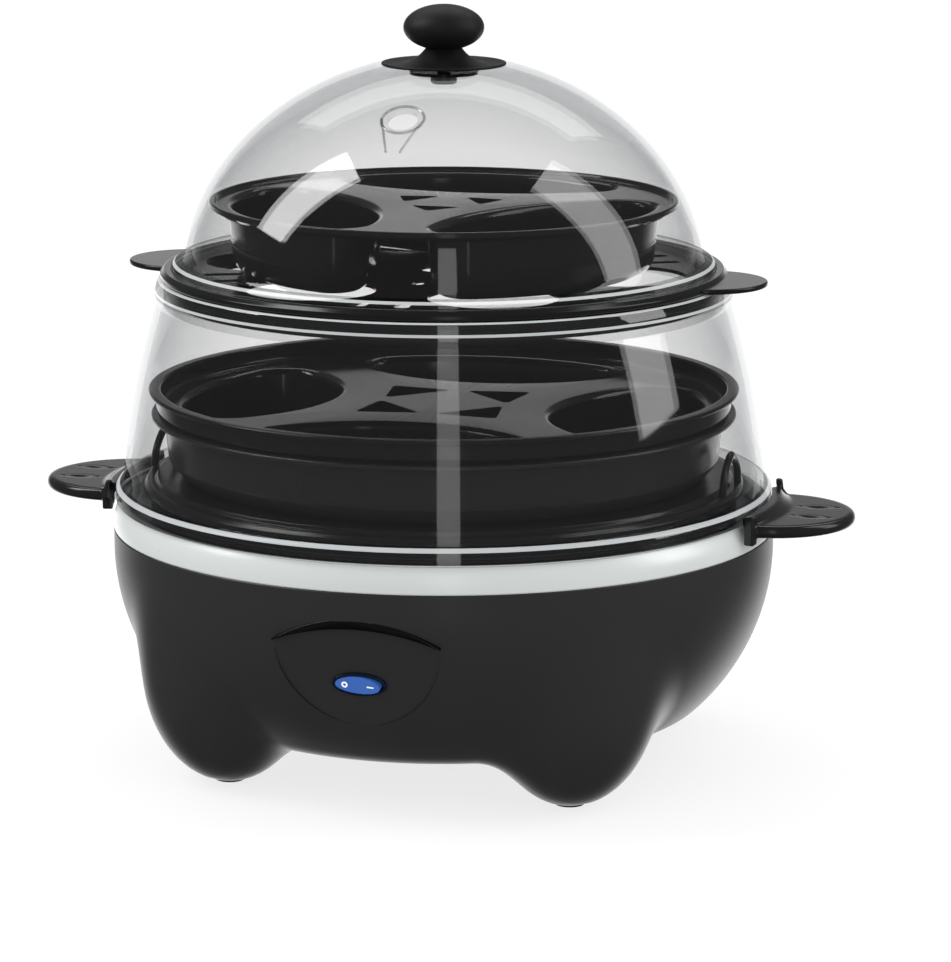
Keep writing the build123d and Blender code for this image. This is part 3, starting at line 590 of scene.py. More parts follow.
def shell_profile(arc_r, bottom_z, inner_r, count_floor, count_arc):
    """Meridian points and normals from the access opening out and up to the rim."""
    edge_r = shell_radius(bottom_z, arc_r)
    points = []
    normals = []
    start = math.asin((SHELL_CENTRE_Z - bottom_z) / arc_r)
    for k in range(count_floor):
        share = k / count_floor
        lean = math.radians(90) - (math.radians(90) - start) * max(0.0, share - 0.8) / 0.2 * 0.7
        points.append((inner_r + (edge_r - inner_r) * share, bottom_z))
        normals.append((math.cos(lean), -math.sin(lean)))
    for k in range(count_arc + 1):
        a = start * (1 - k / count_arc)
        points.append((SHELL_CENTRE_R + arc_r * math.cos(a), SHELL_CENTRE_Z - arc_r * math.sin(a)))
        normals.append((math.cos(a), -math.sin(a)))
    return np.array(points), np.array(normals)


def panel_outline():
    """Shield outline of the switch panel, as (u, v) points."""
    top = arc_through((-25, 13.4), (0, 21.2), (25, 13.4), 28)
    side = []
    p0, p1, p2, p3 = (25.0, 13.4), (24.6, -2.4), (13.2, -13.2), (0.0, -14.0)
    for k in range(1, 24):
        t = k / 24
        side.append(tuple(
            (1 - t) ** 3 * a + 3 * (1 - t) ** 2 * t * b + 3 * (1 - t) * t * t * c + t**3 * d
            for a, b, c, d in zip(p0, p1, p2, p3)
        ))
    mirrored = [(-u, v) for u, v in reversed(side)]
    return top + side + [p3] + mirrored


def make_housing():
    """Shell as one closed turn of meridian columns, then the panel, switch and cord openings."""
    steps = 640
    outer_p, outer_n = shell_profile(SHELL_ARC_R, SHELL_BOTTOM_Z, COVER_R + 0.3, 40, 84)
    inner_p, inner_n = shell_profile(SHELL_ARC_R - WALL, FLOOR_TOP_Z, ACCESS_R, 20, 40)
    outer = displaced(outer_distance, outer_p, outer_n, steps, 34.0)
    inner = displaced(inner_distance, inner_p, inner_n, steps, 26.0)
    inner_z = np.minimum(inner[2], SHELL_TOP_Z - SHELF_T)
    seat_z = SHELL_BOTTOM_Z + COVER_T
    columns_outer = np.stack(outer, axis=-1)
    columns_inner = np.stack((inner[0], inner[1], inner_z), axis=-1)
    turn = np.arange(steps) * (2 * math.pi / steps)

    def ring(radius, z):
        circle = (radius * np.cos(turn), radius * np.sin(turn), np.full(steps, z))
        return np.stack(circle, axis=-1)[:, None, :]

    r_max = SHELL_CENTRE_R + SHELL_ARC_R
    r_in = r_max - WALL
    loop = np.concatenate(
        [
            ring(COVER_R + 0.3, seat_z),
            columns_outer,
            ring(r_max, 68.6),
            ring(r_max, SHELL_TOP_Z - 0.3),
            ring(r_max - 0.3, SHELL_TOP_Z),
            ring(SHELF_INNER_R, SHELL_TOP_Z),
            ring(SHELF_INNER_R, SHELL_TOP_Z - SHELF_T),
            ring(r_in, SHELL_TOP_Z - SHELF_T),
            columns_inner[:, ::-1, :],
            ring(ACCESS_R, seat_z),
        ],
        axis=1,
    )
    count = loop.shape[1]
    verts = loop.reshape(-1, 3)
    faces = []
    for i in range(steps):
        j = (i + 1) % steps
        for k in range(count):
            m = (k + 1) % count
            faces.append((i * count + k, j * count + k, j * count + m, i * count + m))
    housing = mesh_object("base_housing_shell", verts, faces, HOUSING, 34)
    boolean(housing, prism_on_panel("panel_cutter", panel_outline(), 0, 14))
    boolean(housing, prism_on_panel("switch_cutter", ellipse_outline(7.85, 3.4, count=72), -8, 4))
    boolean(housing, cylinder_between("boss", (0, 78, CORD_Z), (0, 89.2, CORD_Z), 9), "UNION")
    boolean(housing, cylinder_between("seat_cutter", (0, CORD_SEAT_Y, CORD_Z), (0, 110, CORD_Z), 8.4))
    boolean(housing, cylinder_between("bore_cutter", (0, 70, CORD_Z), (0, 100, CORD_Z), 5.4))
    weld(housing, 28)
    return finish_piece(housing, "base", "housing_black", "base_housing")


def make_brow():
    """Glossy crescent along the upper edge of the switch panel."""
    upper = arc_through((-25.2, 13.2), (0, 21.4), (25.2, 13.2), 40)
    lower = arc_through((-25.2, 13.2), (0, 18.4), (25.2, 13.2), 40)
    brow = prism_on_panel("panel_brow", upper + lower[-2:0:-1], -0.6, 1.5, BROW)
    mod = brow.modifiers.new("soften", "BEVEL")
    mod.width = 0.6 * MM
    mod.segments = 4
    mod.limit_method = "ANGLE"
    mod.angle_limit = math.radians(50)
    apply_modifiers(brow)
    weld(brow, 40)
    return finish_piece(brow, "base", "housing_black")


make_housing()
make_brow()


# ---------------------------------------------------------------- trim ring
def make_ring():
    """Metal band with a slightly crowned flank and a small rounded top edge."""
    top = 79.2
    bottom = SHELL_TOP_Z
    flank = arc_through((100.3, bottom + 0.4), (99.9, 75.8), (98.7, top - 0.5), 16)
    outline = [(89, bottom), (100.0, bottom)] + flank
    outline += [(98.5, top - 0.12), (98.2, top), (96.4, top), (96.1, top - 0.3), (96.1, 73.0), (89, 73.0)]
    ring = lathe("trim_ring_band", outline, RING)
    return finish_piece(ring, "base", "ring_metal", "trim_ring")


make_ring()


# ---------------------------------------------------------------- clear domes
def tint_edge(dome, dark, painted_highlight):
    """Thick bands of a dome get a darker tint, painted shade, and their outer corners a pale material, a
    painted highlight.
    """
    dome.data.materials.append(CLEAR_PAINTED_SHADE)
    dome.data.materials.append(EDGE_PAINTED_HIGHLIGHT)
    for face in dome.data.polygons:
        r, z = math.hypot(face.center.x, face.center.y) / MM, face.center.z / MM
        if painted_highlight(r, z):
            face.material_index = 2
        elif dark(r, z):
            face.material_index = 1


def make_lower_dome():
    """Open ring dome with a flange at the bottom and a rounded lip at the top."""
    top, bottom, wall = 147.0, 79.4, 1.9
    outline = [(95.0, bottom), (99.1, bottom), (99.5, bottom + 0.4), (99.5, 83.4)]
    outline += arc_through((99.5, 83.4), (98.7, 84.4), (97.3, 84.9), 5)[1:]
    outline += arc_through((97.3, 84.9), (93.5, 111.5), (86.4, 139.6), 40)[1:]
    outline += arc_through((86.4, 139.6), (86.9, 143.6), (86.2, top - 0.8), 8)[1:]
    outline += arc_through((86.2, top - 0.8), (85.3, top), (84.4, top - 0.8), 8)[1:]
    outline += [(84.4, 139.0)]
    outline += arc_through((84.4, 139.0), (93.5 - wall, 111.0), (95.2, 86.0), 40)[1:]
    dome = lathe("lower_dome_wall", outline, CLEAR)

    # Thick flange and lip bands, which get the darker tint of painted shade.
    def painted_shade_band(r, z):
        return z > 142.0 or (z < 85.0 and r > 97.0)

    # Corner faces of the lip and flange, which get the painted highlight.
    def corner(r, z):
        lip = z > 146.6 or (r > 86.4 and 142.6 < z < 143.4)
        flange = (r > 97.6 and 83.6 < z < 84.5) or (r > 99.0 and z < 79.9)
        return lip or flange

    tint_edge(dome, painted_shade_band, corner)
    return finish_piece(dome, "lower_cover", "dome_clear", "lower_dome")


def lid_radius(z, grow=0.0):
    """Radius of the lid's superelliptic skin at a height."""
    share = max(0.0, 1.0 - (max(0.0, z - LID_BASE_Z) / (LID_RISE + grow)) ** LID_POWER)
    return (LID_R + grow) * share ** (1.0 / LID_POWER)


def lid_curve(grow, z0, z1, count):
    """Meridian of the lid's skin, with more points toward the top."""
    points = []
    for k in range(count + 1):
        z = z0 + (z1 - z0) * math.sin(math.radians(90 * k / count))
        points.append((lid_radius(z, grow), z))
    return points


def make_upper_dome():
    """Closed lid with a flange, a flat boss for the knob and a round vent hole."""
    flange_r = 81.6
    z0 = LID_BOTTOM_Z
    outline = [(76.2, z0), (flange_r - 0.4, z0), (flange_r, z0 + 0.4), (flange_r, z0 + 1.7)]
    shoulder = ((flange_r, z0 + 1.7), (flange_r - 0.7, z0 + 2.5), (flange_r - 1.8, z0 + 2.7))
    outline += arc_through(*shoulder, 4)[1:]
    outline += [(78.6, z0 + 3.0)]
    outline += lid_curve(0, z0 + 4.5, LID_BOSS_Z, 56)
    outline += [(2.0, LID_BOSS_Z), (2.0, LID_BOSS_Z - LID_WALL)]
    outline += list(reversed(lid_curve(-LID_WALL, z0 + 1.0, LID_BOSS_Z - LID_WALL, 56)))
    dome = lathe("upper_dome_wall", outline, CLEAR)
    direction = Vector((0, -VENT_SLOPE_COS, VENT_SLOPE_SIN))
    centre = Vector(VENT_CENTRE)
    ends = (centre - direction * 6, centre + direction * 6)
    boolean(dome, cylinder_between("vent_cutter", *ends, VENT_HOLE_R, 48))
    weld(dome)

    # Thick flange band, which gets the darker tint of painted shade.
    def painted_shade_band(r, z):
        return z < 153.0 and r > 78.5

    # Corner faces of the flange, which get the painted highlight.
    def corner(r, z):
        return (r > 80.6 and 151.5 < z < 152.3) or (r > 81.1 and z < 150.1)

    tint_edge(dome, painted_shade_band, corner)
    return finish_piece(dome, "lid", "dome_clear", "upper_dome")


def on_lid(u, v, lift):
    """Point on the lid's outer skin near the vent: u across, v up the slope."""
    centre = Vector(VENT_CENTRE)
    up = Vector((0, VENT_SLOPE_SIN, VENT_SLOPE_COS))
    spot = centre + Vector((u, 0, 0)) + up * v
    r = math.hypot(spot.x, spot.y)
    low, high = LID_BOTTOM_Z, LID_BASE_Z + LID_RISE
    for _ in range(30):
        mid = (low + high) / 2
        if lid_radius(mid) > r:
            low = mid
        else:
            high = mid
    return (spot.x, spot.y, low + lift)


def make_vent():
    """Raised rim of the round steam vent and the two ridges of its scoop."""
    spots, sides = 48, 12
    ring = [on_lid(VENT_RIM_R * math.sin(a), VENT_RIM_R * math.cos(a), 0.1)
            for a in np.linspace(0, 2 * math.pi, spots + 1)[:-1]]
    lip = []
    for i, p in enumerate(ring):
        along = (Vector(ring[(i + 1) % spots]) - Vector(ring[i - 1])).normalized()
        out = Vector((p[0], p[1], 34.0)).normalized()
        side = along.cross(out).normalized()
        section = []
        for k in range(sides):
            a = 2 * math.pi * k / sides
            section.append(tuple(Vector(p) + side * 0.42 * math.cos(a) + out * 0.35 * math.sin(a)))
        lip.append(section)
    verts = [p for section in lip for p in section]
    faces = []
    for i in range(spots):
        j = (i + 1) % spots
        for k in range(sides):
            m = (k + 1) % sides
            faces.append((i * sides + k, i * sides + m, j * sides + m, j * sides + k))
    # Vent rim and ridges take the clear with the darker tint of painted shade.
    rim = mesh_object("vent_rim", verts, faces, CLEAR_PAINTED_SHADE)
    finish_piece(rim, "lid", "dome_clear")
    solids = []
    for side in (-1, 1):
        path = [on_lid(side * (VENT_RIM_R - 4.2 * t), -13.5 * t, 0.05) for t in np.linspace(0, 1, 14)]
        solids.append(tube_along(path, (1, 0, 0), 0.34, 0.3, sides))
    ridges = loft_object("vent_ridges", solids, CLEAR_PAINTED_SHADE)
    finish_piece(ridges, "lid", "dome_clear")


make_lower_dome()
make_upper_dome()
make_vent()


# ---------------------------------------------------------------- knob
def make_knob():
    foot, neck, ball_r, centre, top = 18.7, 5.2, 12.1, 221.75, 228.6
    z0 = LID_BOSS_Z
    outline = [(2.0, z0), (foot - 0.4, z0)]
    outline += arc_through((foot - 0.4, z0), (foot, z0 + 0.45), (foot - 0.4, z0 + 0.9), 6)[1:]
    outline += arc_through((foot - 0.4, z0 + 0.9), (8.6, z0 + 2.0), (neck, z0 + 5.4), 18)[1:]
    first = -math.acos(neck / ball_r)
    for k in range(1, 41):
        a = first + (math.pi / 2 - first) * k / 40
        outline.append((max(0.0, ball_r * math.cos(a)), centre + (top - centre) * math.sin(a)))
    outline += [(0, 219), (2.0, 219)]
    knob = lathe("lid_knob_ball", outline, KNOB, 128)
    return finish_piece(knob, "lid", "knob_black", "lid_knob")


make_knob()


# ---------------------------------------------------------------- omelet bowl
def make_bowl():
    z0, z1 = 87.3, 106.2
    outline = rounded(
        [
            (0, z0, 0), (79.0, z0, 2.5), (83.4, z0 + 4.6, 4), (84.8, z1 - 1.6, 0.3),
            (88.6, z1 - 1.6, 0.7), (88.6, z1, 0.7), (83.1, z1, 0.8), (81.8, z0 + 5.2, 3),
            (78.2, z0 + 1.6, 2), (0, z0 + 1.6, 0),
        ]
    )
    bowl = lathe("omelet_bowl_shell", outline, BOWL)
    return finish_piece(bowl, "bowl", "tray_black", "omelet_bowl")


make_bowl()


# ---------------------------------------------------------------- poaching trays
def bean(inner_r, outer_r, half_angle, corner_r, grow, count=20):
    """Kidney-shaped cup outline whose middle is on +X, grown by a margin."""
    x, y = outer_r * math.cos(math.radians(half_angle)), outer_r * math.sin(math.radians(half_angle))
    c = (x * x + y * y - inner_r**2) / (2 * (x - inner_r))
    far_r = c - inner_r
    r1, r2 = outer_r - corner_r, far_r - corner_r
    vx = (r1 * r1 - r2 * r2 + c * c) / (2 * c)
    vy = math.sqrt(r1 * r1 - vx * vx)
    a1 = math.atan2(vy, vx)
    a2 = math.atan2(vy, vx - c)
    arcs = (
        (0, 0, outer_r + grow, -a1, a1), (vx, vy, corner_r + grow, a1, a2),
        (c, 0, far_r + grow, a2, 2 * math.pi - a2), (vx, -vy, corner_r + grow, -a2, -a1),
    )
    points = []
    for cx, cy, r, start, end in arcs:
        for k in range(count):
            a = start + (end - start) * k / count
            points.append((cx + r * math.cos(a), cy + r * math.sin(a)))
    return points


def cup_rings(shape, angle, z_deck, depth, taper, rim, foot, grow):
    """Rings of a tapered cup from above the deck down, with rounded rim and foot."""
    slope = math.tan(math.radians(taper))
    levels = [(-1.5, rim)]
    for k in range(7):
        t = rim * (1 - math.cos(math.pi / 2 * k / 6))
        levels.append((t, rim - math.sqrt(max(0.0, rim**2 - (rim - t) ** 2))))
    levels += [(depth * k / 8, 0.0) for k in range(2, 6)]
    for k in range(9):
        t = foot * math.sin(math.pi / 2 * k / 8)
        levels.append((depth - foot + t, -(foot - math.sqrt(max(0.0, foot**2 - t * t)))))
    return [
        turned_ring(bean(*shape, grow + extra - max(0.0, t) * slope), z_deck - t, angle)
        for t, extra in levels
    ]


def make_poaching_tray(name, outline, shape, angles, z_deck, z_bottom, taper, slot, body, nodes):
    """Tray with hanging cups, rounded where the deck rolls into each cup."""
    wall = 1.5
    tray = lathe(name, outline, TRAY, 200)
    depth = z_deck - z_bottom
    hulls = [cup_rings(shape, a, z_deck - 1.0, depth - 1.0, taper, 0.01, 4.6, -0.15) for a in angles]
    boolean(tray, loft_object("cup_hulls", hulls, TRAY), "UNION")
    hollows = [cup_rings(shape, a, z_deck, depth - wall, taper, 2.0, 3.4, -wall - 0.15) for a in angles]
    boolean(tray, loft_object("cup_hollows", hollows, TRAY))
    half = 180 / len(angles)
    holes = [[turned_ring(slot, z, a + half) for z in (z_deck - 6, z_deck + 4)] for a in angles]
    boolean(tray, loft_object("slot_cutters", holes, TRAY))
    weld(tray, 36)
    flatten_shading(tray)
    return finish_piece(tray, body, "tray_black", *nodes)


def make_poaching_trays():
    z, lip = LOWER_DECK_Z, LOWER_LIP_Z
    lower = rounded([
        (0, z - 1.6, 0), (87.0, z - 1.6, 1.6), (87.0, lip - 1.4, 0.4), (LOWER_LIP_R, lip - 1.4, 0.6),
        (LOWER_LIP_R, lip, 0.6), (85.6, lip, 0.7), (85.2, z, 1.6), (0, z, 0),
    ])
    make_poaching_tray(
        "lower_poaching_shell", lower, (33, 80, 37, 14), (0, 90, 180, 270), z, LOWER_CUP_BOTTOM_Z, 8,
        rounded([(31, 0, 1.5), (15, 12, 1.2), (15, -12, 1.2)], 4),
        "lower_poacher", ("lower_poaching_deck", "lower_poaching_cups"),
    )
    z, lip = UPPER_DECK_Z, UPPER_LIP_Z
    upper = rounded([
        (0, z - 1.6, 0), (68.6, z - 1.6, 0.5), (UPPER_LIP_R, z - 0.4, 0.4), (UPPER_LIP_R, lip, 0.5),
        (69.0, lip, 0.5), (68.4, z, 0.8), (0, z, 0),
    ])
    make_poaching_tray(
        "upper_poaching_shell", upper, (21, 65, 51, 12), (90, 210, 330), z, UPPER_CUP_BOTTOM_Z, 5,
        rounded([(19, 0, 1.2), (9, 8, 1.0), (9, -8, 1.0)], 4),
        "upper_poacher", ("upper_poaching_deck", "upper_poaching_cups"),
    )


make_poaching_trays()


# ---------------------------------------------------------------- egg trays
def egg_tray_cutters(z0, top):
    """Egg holes with softened rims, steam slots and the centre hole of an egg tray."""
    levels = ((z0 - 2, 0), (top - 0.5, 0), (top - 0.15, 0.15), (top, 0.5), (top + 1.5, 0.5))
    slots = (
        (OUTER_SLOT_R, 3.8, 2.2, OUTER_SLOT_SWING), (OUTER_SLOT_R, 3.8, 2.2, -OUTER_SLOT_SWING),
        (INNER_SLOT_R, 2.8, 1.7, 0),
    )
    solids = [[turned_ring(circle_outline(CENTRE_HOLE_R + g), z, 0) for z, g in levels]]
    for k in range(6):
        a = math.radians(60 * k)
        x, y = EGG_HOLE_CIRCLE_R * math.cos(a), EGG_HOLE_CIRCLE_R * math.sin(a)
        solids.append([turned_ring(circle_outline(EGG_HOLE_R + g, x, y), z, 0) for z, g in levels])
        for r, half, end_r, swing in slots:
            slot = []
            for end in (1, -1):
                for j in range(13):
                    t = math.pi * (j / 12 - 0.5) + (0 if end > 0 else math.pi)
                    slot.append((r + end * half + end_r * math.cos(t), end_r * math.sin(t)))
            solids.append([turned_ring(slot, z, 30 + 60 * k + swing) for z in (z0 - 2, top + 1.5)])
    return solids


def tab_rings(z0, thickness, edge):
    """Rings of the flat finger tab, its half oval starting inside the tray rim."""
    levels = []
    for k in range(5):
        a = math.pi / 2 * k / 4
        levels.append((z0 + edge * (1 - math.cos(a)), -edge * (1 - math.sin(a))))
    for k in range(5):
        a = math.pi / 2 * k / 4
        levels.append((z0 + thickness - edge * (1 - math.sin(a)), -edge * (1 - math.cos(a))))
    rings = []
    for z, grow in levels:
        half = TAB_HALF_WIDTH + grow
        outline = [
            (80 + (TAB_TIP_X - 80 + grow) * math.sin(t), -half * math.cos(t))
            for t in np.linspace(0.12, math.pi - 0.12, 60)
        ]
        rings.append((z, outline + [(81.0, half * 0.9), (81.0, -half * 0.9)]))
    return rings


def make_egg_trays():
    top = LOWER_TRAY_DECK_Z
    lower = rounded([
        (0, top - 2.0, 0), (85.6, top - 2.0, 1.0), (87.2, top - 3.6, 0.8), (87.2, PLATE_FLANGE_Z + 1.5, 0.3),
        (89.0, PLATE_FLANGE_Z + 1.5, 0.3), (89.0, top - 4.4, 0.6), (LOWER_TRAY_RIM_R, top - 4.4, 0.5),
        (LOWER_TRAY_RIM_R, top - 2.6, 0.6), (89.9, top - 1.4, 0.6), (87.6, top - 1.4, 0.5), (87.0, top, 0.5),
        (0, top, 0),
    ])
    tray = lathe("lower_egg_tray_plate", lower, EGG_TRAY, 200)
    boolean(tray, loft_object("lower_cutters", egg_tray_cutters(top - 4, top), EGG_TRAY))
    weld(tray, 36)
    flatten_shading(tray)
    finish_piece(tray, "lower_tray", "egg_tray_black", "lower_egg_deck", "lower_egg_rim")

    z0, top = UPPER_TRAY_BOTTOM_Z, UPPER_TRAY_DECK_Z
    upper = rounded([
        (0, z0 + 0.7, 0), (80.4, z0 + 0.7, 0.5), (81.0, z0, 0.3), (81.6, 141.0, 0.3),
        (83.2, 141.0, 0.3), (83.6, z0, 0.6),
        (UPPER_TRAY_RIM_R, z0, 0.6), (UPPER_TRAY_RIM_R, z0 + 1.5, 0.6), (84.2, z0 + 2.7, 0.5),
        (82.4, z0 + 2.7, 0.4), (81.6, top, 0.6), (0, top, 0),
    ])
    tray = lathe("upper_egg_tray_plate", upper, EGG_TRAY, 200)
    tabs = [[turned_ring(o, z, angle) for z, o in tab_rings(z0, 1.6, 0.6)] for angle in (0, 180)]
    boolean(tray, loft_object("tabs", tabs, EGG_TRAY), "UNION")
    boolean(tray, loft_object("upper_cutters", egg_tray_cutters(z0, top), EGG_TRAY))
    weld(tray, 36)
    flatten_shading(tray)
    finish_piece(tray, "upper_tray", "egg_tray_black", "upper_egg_deck", "upper_egg_rim")

    z_foot = LOWER_TRAY_DECK_Z - 1.4
    loops = []
    arch = ((-11.4, z_foot), (-9.3, 91.3), (0, 96.0), (9.3, 91.3), (11.4, z_foot))
    for x in (-88.75, 88.75):
        path = smooth_path([(x, y, z) for y, z in arch])
        loops.append(tube_along(path, (1, 0, 0), 1.1, 1.35))
    loop = loft_object("tray_loop_arches", loops, EGG_TRAY, 60)
    finish_piece(loop, "lower_tray", "egg_tray_black", "tray_loops")


make_egg_trays()


# ---------------------------------------------------------------- side handles
def sector_rings(r0, r1, z0, z1, a0, a1):
    """Two rings of a block that follows a circle between two angles."""
    angles = np.radians(np.linspace(a0, a1, 24))
    outline = [(r1 * math.cos(a), r1 * math.sin(a)) for a in angles]
    outline += [(r0 * math.cos(a), r0 * math.sin(a)) for a in angles[::-1]]
    return [turned_ring(outline, z, 0) for z in (z0, z1)]


def tab_solid():
    """Finger tab: a half oval with a rounded edge, thicker under its middle."""
    rings = []
    mid, low, high = HANDLE_TAB_MIDDLE_Z, HANDLE_TAB_BOTTOM_Z, HANDLE_TAB_TOP_Z
    for k in range(17):
        a = math.pi * k / 16 - math.pi / 2
        inset = 1.9 * (1 - math.cos(a) ** 0.8)
        z = mid + (high - mid if a > 0 else mid - low) * math.sin(a)
        length, half = HANDLE_TIP_X - HANDLE_ROOT_R - inset, HANDLE_HALF_WIDTH - inset
        rings.append([
            (HANDLE_ROOT_R + length * math.sin(t), -half * math.cos(t), z)
            for t in np.linspace(0.0, math.pi, 90)
        ])
    return rings


def ramp_solid():
    """Concave root that sweeps up from the tab to the collar."""
    rings = []
    reach = 23.0
    for k in range(25):
        y = -reach + 2 * reach * k / 24
        x0 = math.sqrt(101.2**2 - y * y)
        run = 1.2 + 7.5 * math.sqrt(1 - (y / 25.0) ** 2)
        section = [(x0, y, 78.0), (x0 + run, y, 78.0)]
        for j in range(9):
            t = j / 8
            section.append((x0 + run * (1 - t * 0.8), y, 80.0 + 2.3 * t**2.2))
        section.append((x0, y, COLLAR_TOP_Z))
        rings.append(section)
    return rings


def press_grooves(mesh):
    """Two leaf-shaped hollows pressed into the top of the tab."""
    for vert in mesh.vertices:
        x, y, z = (c / MM for c in vert.co)
        if z < HANDLE_TAB_TOP_Z - 1.0 or not GROOVE_START_X < x < GROOVE_START_X + GROOVE_LENGTH:
            continue
        t = (x - GROOVE_START_X) / GROOVE_LENGTH
        leaf = math.sin(math.pi * t) ** 1.5
        for side in (-1, 1):
            off = abs(y - side * (6.4 + 1.0 * t)) / (0.6 + 2.2 * leaf)
            if off < 1:
                vert.co.z -= GROOVE_DEPTH * leaf * (1 - off * off) ** 2 * MM


def make_handle(name, angle, node, horn_z):
    """Tab, collar, two end posts and a horn on the far one, joined under one smooth skin."""
    parts = [tab_solid(), ramp_solid()]
    parts.append(sector_rings(100.6, 102.6, 76.0, COLLAR_TOP_Z, -13.4, 13.4))
    parts.append(sector_rings(99.7, 101, 79.6, COLLAR_TOP_Z, -13.4, 13.4))
    for end, top in ((-1, 83.0), (1, 81.0)):
        parts.append(sector_rings(101.0, 104.2, 74.4, top, end * 13.6 - 0.8, end * 13.6 + 0.8))
    a = math.radians(HANDLE_ANGLE - 0.9)
    foot = (102.6 * math.cos(a), 102.6 * math.sin(a), 78)
    tip = (102.0 * math.cos(a), 102.0 * math.sin(a), horn_z)
    middle = (102.4 * math.cos(a), 102.4 * math.sin(a), 81)
    horn = tube_along(smooth_path([foot, middle, tip], 12), (math.cos(a), math.sin(a), 0), 1.1, 1.7)
    parts.append(horn)
    handle = loft_object(name, parts, HANDLE)
    remesh = handle.modifiers.new("skin", "REMESH")
    remesh.mode = "VOXEL"
    remesh.voxel_size = 0.35 * MM
    relax = handle.modifiers.new("relax", "SMOOTH")
    relax.factor = 0.5
    relax.iterations = 9
    apply_modifiers(handle)
    press_grooves(handle.data)
    handle.data.transform(Matrix.Rotation(math.radians(angle), 4, "Z"))
    weld(handle, 60)
    handle.data.materials.clear()
    handle.data.materials.append(HANDLE)
    return finish_piece(handle, "lower_cover", "handle_black", node)


make_handle("handle_tab_right", 0, "side_handle_right", 84.6)
make_handle("handle_tab_left", 180, "side_handle_left", 83.6)


# ---------------------------------------------------------------- studio
def make_camera():
    azimuth = math.radians(CAMERA_AZIMUTH)
    pitch = math.radians(CAMERA_PITCH)
    camera = bpy.data.cameras.new("camera")
    camera.sensor_width = 36
    camera.lens = CAMERA_LENS_MM
    camera.shift_x = CAMERA_SHIFT
    camera.clip_start = 0.01
    obj = bpy.data.objects.new("camera", camera)
    across, back = CAMERA_DISTANCE_M * math.sin(azimuth), CAMERA_DISTANCE_M * math.cos(azimuth)
    obj.location = (across, -back, CAMERA_HEIGHT_M)
    obj.rotation_euler = (math.pi / 2 - pitch, 0, azimuth)
    bpy.context.scene.collection.objects.link(obj)
    bpy.context.scene.camera = obj


def area_light(name, azimuth, elevation, distance, width, height, radiance):
    """Soft box aimed at the object; azimuth is measured as for the camera."""
    a, e = math.radians(azimuth), math.radians(elevation)
    light = bpy.data.lights.new(name, "AREA")
    light.shape = "RECTANGLE"
    light.size = width
    light.size_y = height
    light.energy = radiance * math.pi * width * height
    obj = bpy.data.objects.new(name, light)
    target = Vector(LIGHT_TARGET_M)
    place = Vector((math.sin(a) * math.cos(e), -math.cos(a) * math.cos(e), math.sin(e)))
    obj.location = target + place * distance
    obj.rotation_euler = (-place).to_track_quat("-Z", "Y").to_euler()
    bpy.context.scene.collection.objects.link(obj)
    return obj


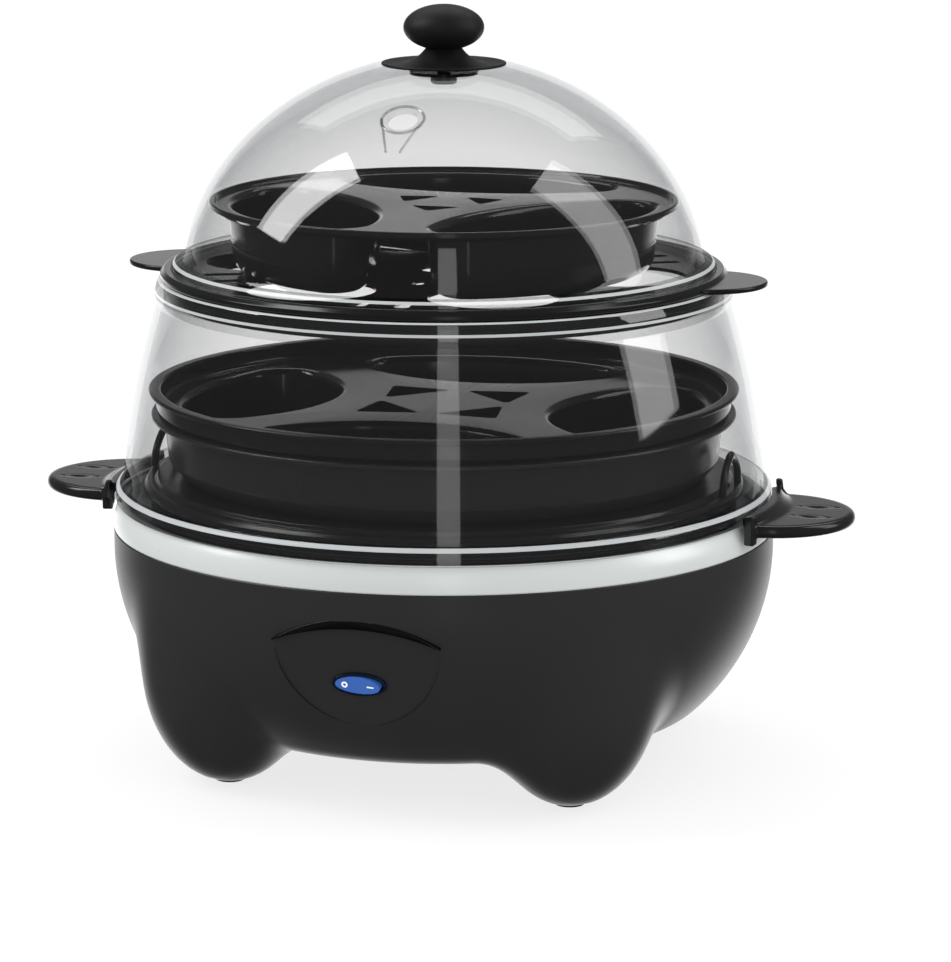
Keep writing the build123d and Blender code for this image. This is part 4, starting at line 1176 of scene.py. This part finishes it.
def make_world():
    """Even white sky. Mirror rays see it dark, but for a glow behind the object and above the floor."""
    world = bpy.data.worlds.new("studio")
    bpy.context.scene.world = world
    world.use_nodes = True
    nt = world.node_tree
    background = nt.nodes["Background"]
    background.inputs["Color"].default_value = (1, 1, 1, 1)
    turn, dip = math.radians(CAMERA_AZIMUTH), math.radians(GLOW_DIP)
    glow_centre = (-math.sin(turn) * math.cos(dip), math.cos(turn) * math.cos(dip), -math.sin(dip))
    path = add_node(nt, "ShaderNodeLightPath")
    coords = add_node(nt, "ShaderNodeTexCoord")
    toward = add_node(nt, "ShaderNodeVectorMath", {1: glow_centre})
    toward.operation = "DOT_PRODUCT"
    nt.links.new(coords.outputs["Generated"], toward.inputs[0])
    backdrop = add_node(nt, "ShaderNodeMapRange", {
        "From Min": GLOW_RANGE[0], "From Max": GLOW_RANGE[1],
        "To Min": GLOW_STRENGTH[0], "To Max": GLOW_STRENGTH[1],
    })
    backdrop.interpolation_type = "SMOOTHSTEP"
    nt.links.new(toward.outputs["Value"], backdrop.inputs["Value"])
    height = add_node(nt, "ShaderNodeSeparateXYZ")
    nt.links.new(coords.outputs["Generated"], height.inputs["Vector"])
    fade = add_node(nt, "ShaderNodeMapRange", {
        "From Min": GLOW_FADE_HEIGHTS[0], "From Max": GLOW_FADE_HEIGHTS[1], "To Min": GLOW_FADE_FLOOR,
    })
    fade.interpolation_type = "SMOOTHSTEP"
    nt.links.new(height.outputs["Z"], fade.inputs["Value"])
    faded = add_node(nt, "ShaderNodeMath")
    faded.operation = "MULTIPLY"
    nt.links.new(backdrop.outputs["Result"], faded.inputs[0])
    nt.links.new(fade.outputs["Result"], faded.inputs[1])
    strength = nt.nodes.new("ShaderNodeMix")
    strength.data_type = "FLOAT"
    strength.inputs["A"].default_value = SKY_STRENGTH
    nt.links.new(path.outputs["Is Glossy Ray"], strength.inputs["Factor"])
    nt.links.new(faded.outputs["Value"], strength.inputs["B"])
    nt.links.new(strength.outputs["Result"], background.inputs["Strength"])


def make_floor():
    """Plain pale floor that the clear domes don't mirror."""
    side = FLOOR_HALF_M
    mesh = bpy.data.meshes.new("floor")
    corners = [(-side, -side, 0), (side, -side, 0), (side, side, 0), (-side, side, 0)]
    mesh.from_pydata(corners, [], [(0, 1, 2, 3)])
    floor = bpy.data.objects.new("floor", mesh)
    bpy.context.scene.collection.objects.link(floor)
    mat = bpy.data.materials.new("floor_white")
    mat.use_nodes = True
    sockets = mat.node_tree.nodes["Principled BSDF"].inputs
    sockets["Base Color"].default_value = (FLOOR_GREY, FLOOR_GREY, FLOOR_GREY, 1)
    sockets["Roughness"].default_value = 0.9
    sockets["Specular IOR Level"].default_value = 0.1
    sockets["Emission Color"].default_value = (1, 1, 1, 1)
    sockets["Emission Strength"].default_value = FLOOR_EMISSION
    mesh.materials.append(mat)
    floor.visible_glossy = False


def make_lights():
    """Soft boxes: azimuth, elevation, distance, width, height, radiance."""
    area_light("strip_front", 16.6, 8, 1.6, 0.22, 1.6, 0.9)
    area_light("box_left", -75, 43, 1.3, 0.4, 0.9, 6.0)
    area_light("box_right", 100, 32, 1.3, 0.5, 1.3, 2.4)
    area_light("box_back", 192, 48, 1.6, 1.8, 0.5, 1.7)


make_camera()
make_world()
make_floor()
make_lights()
bpy.context.scene.view_settings.view_transform = "Standard"
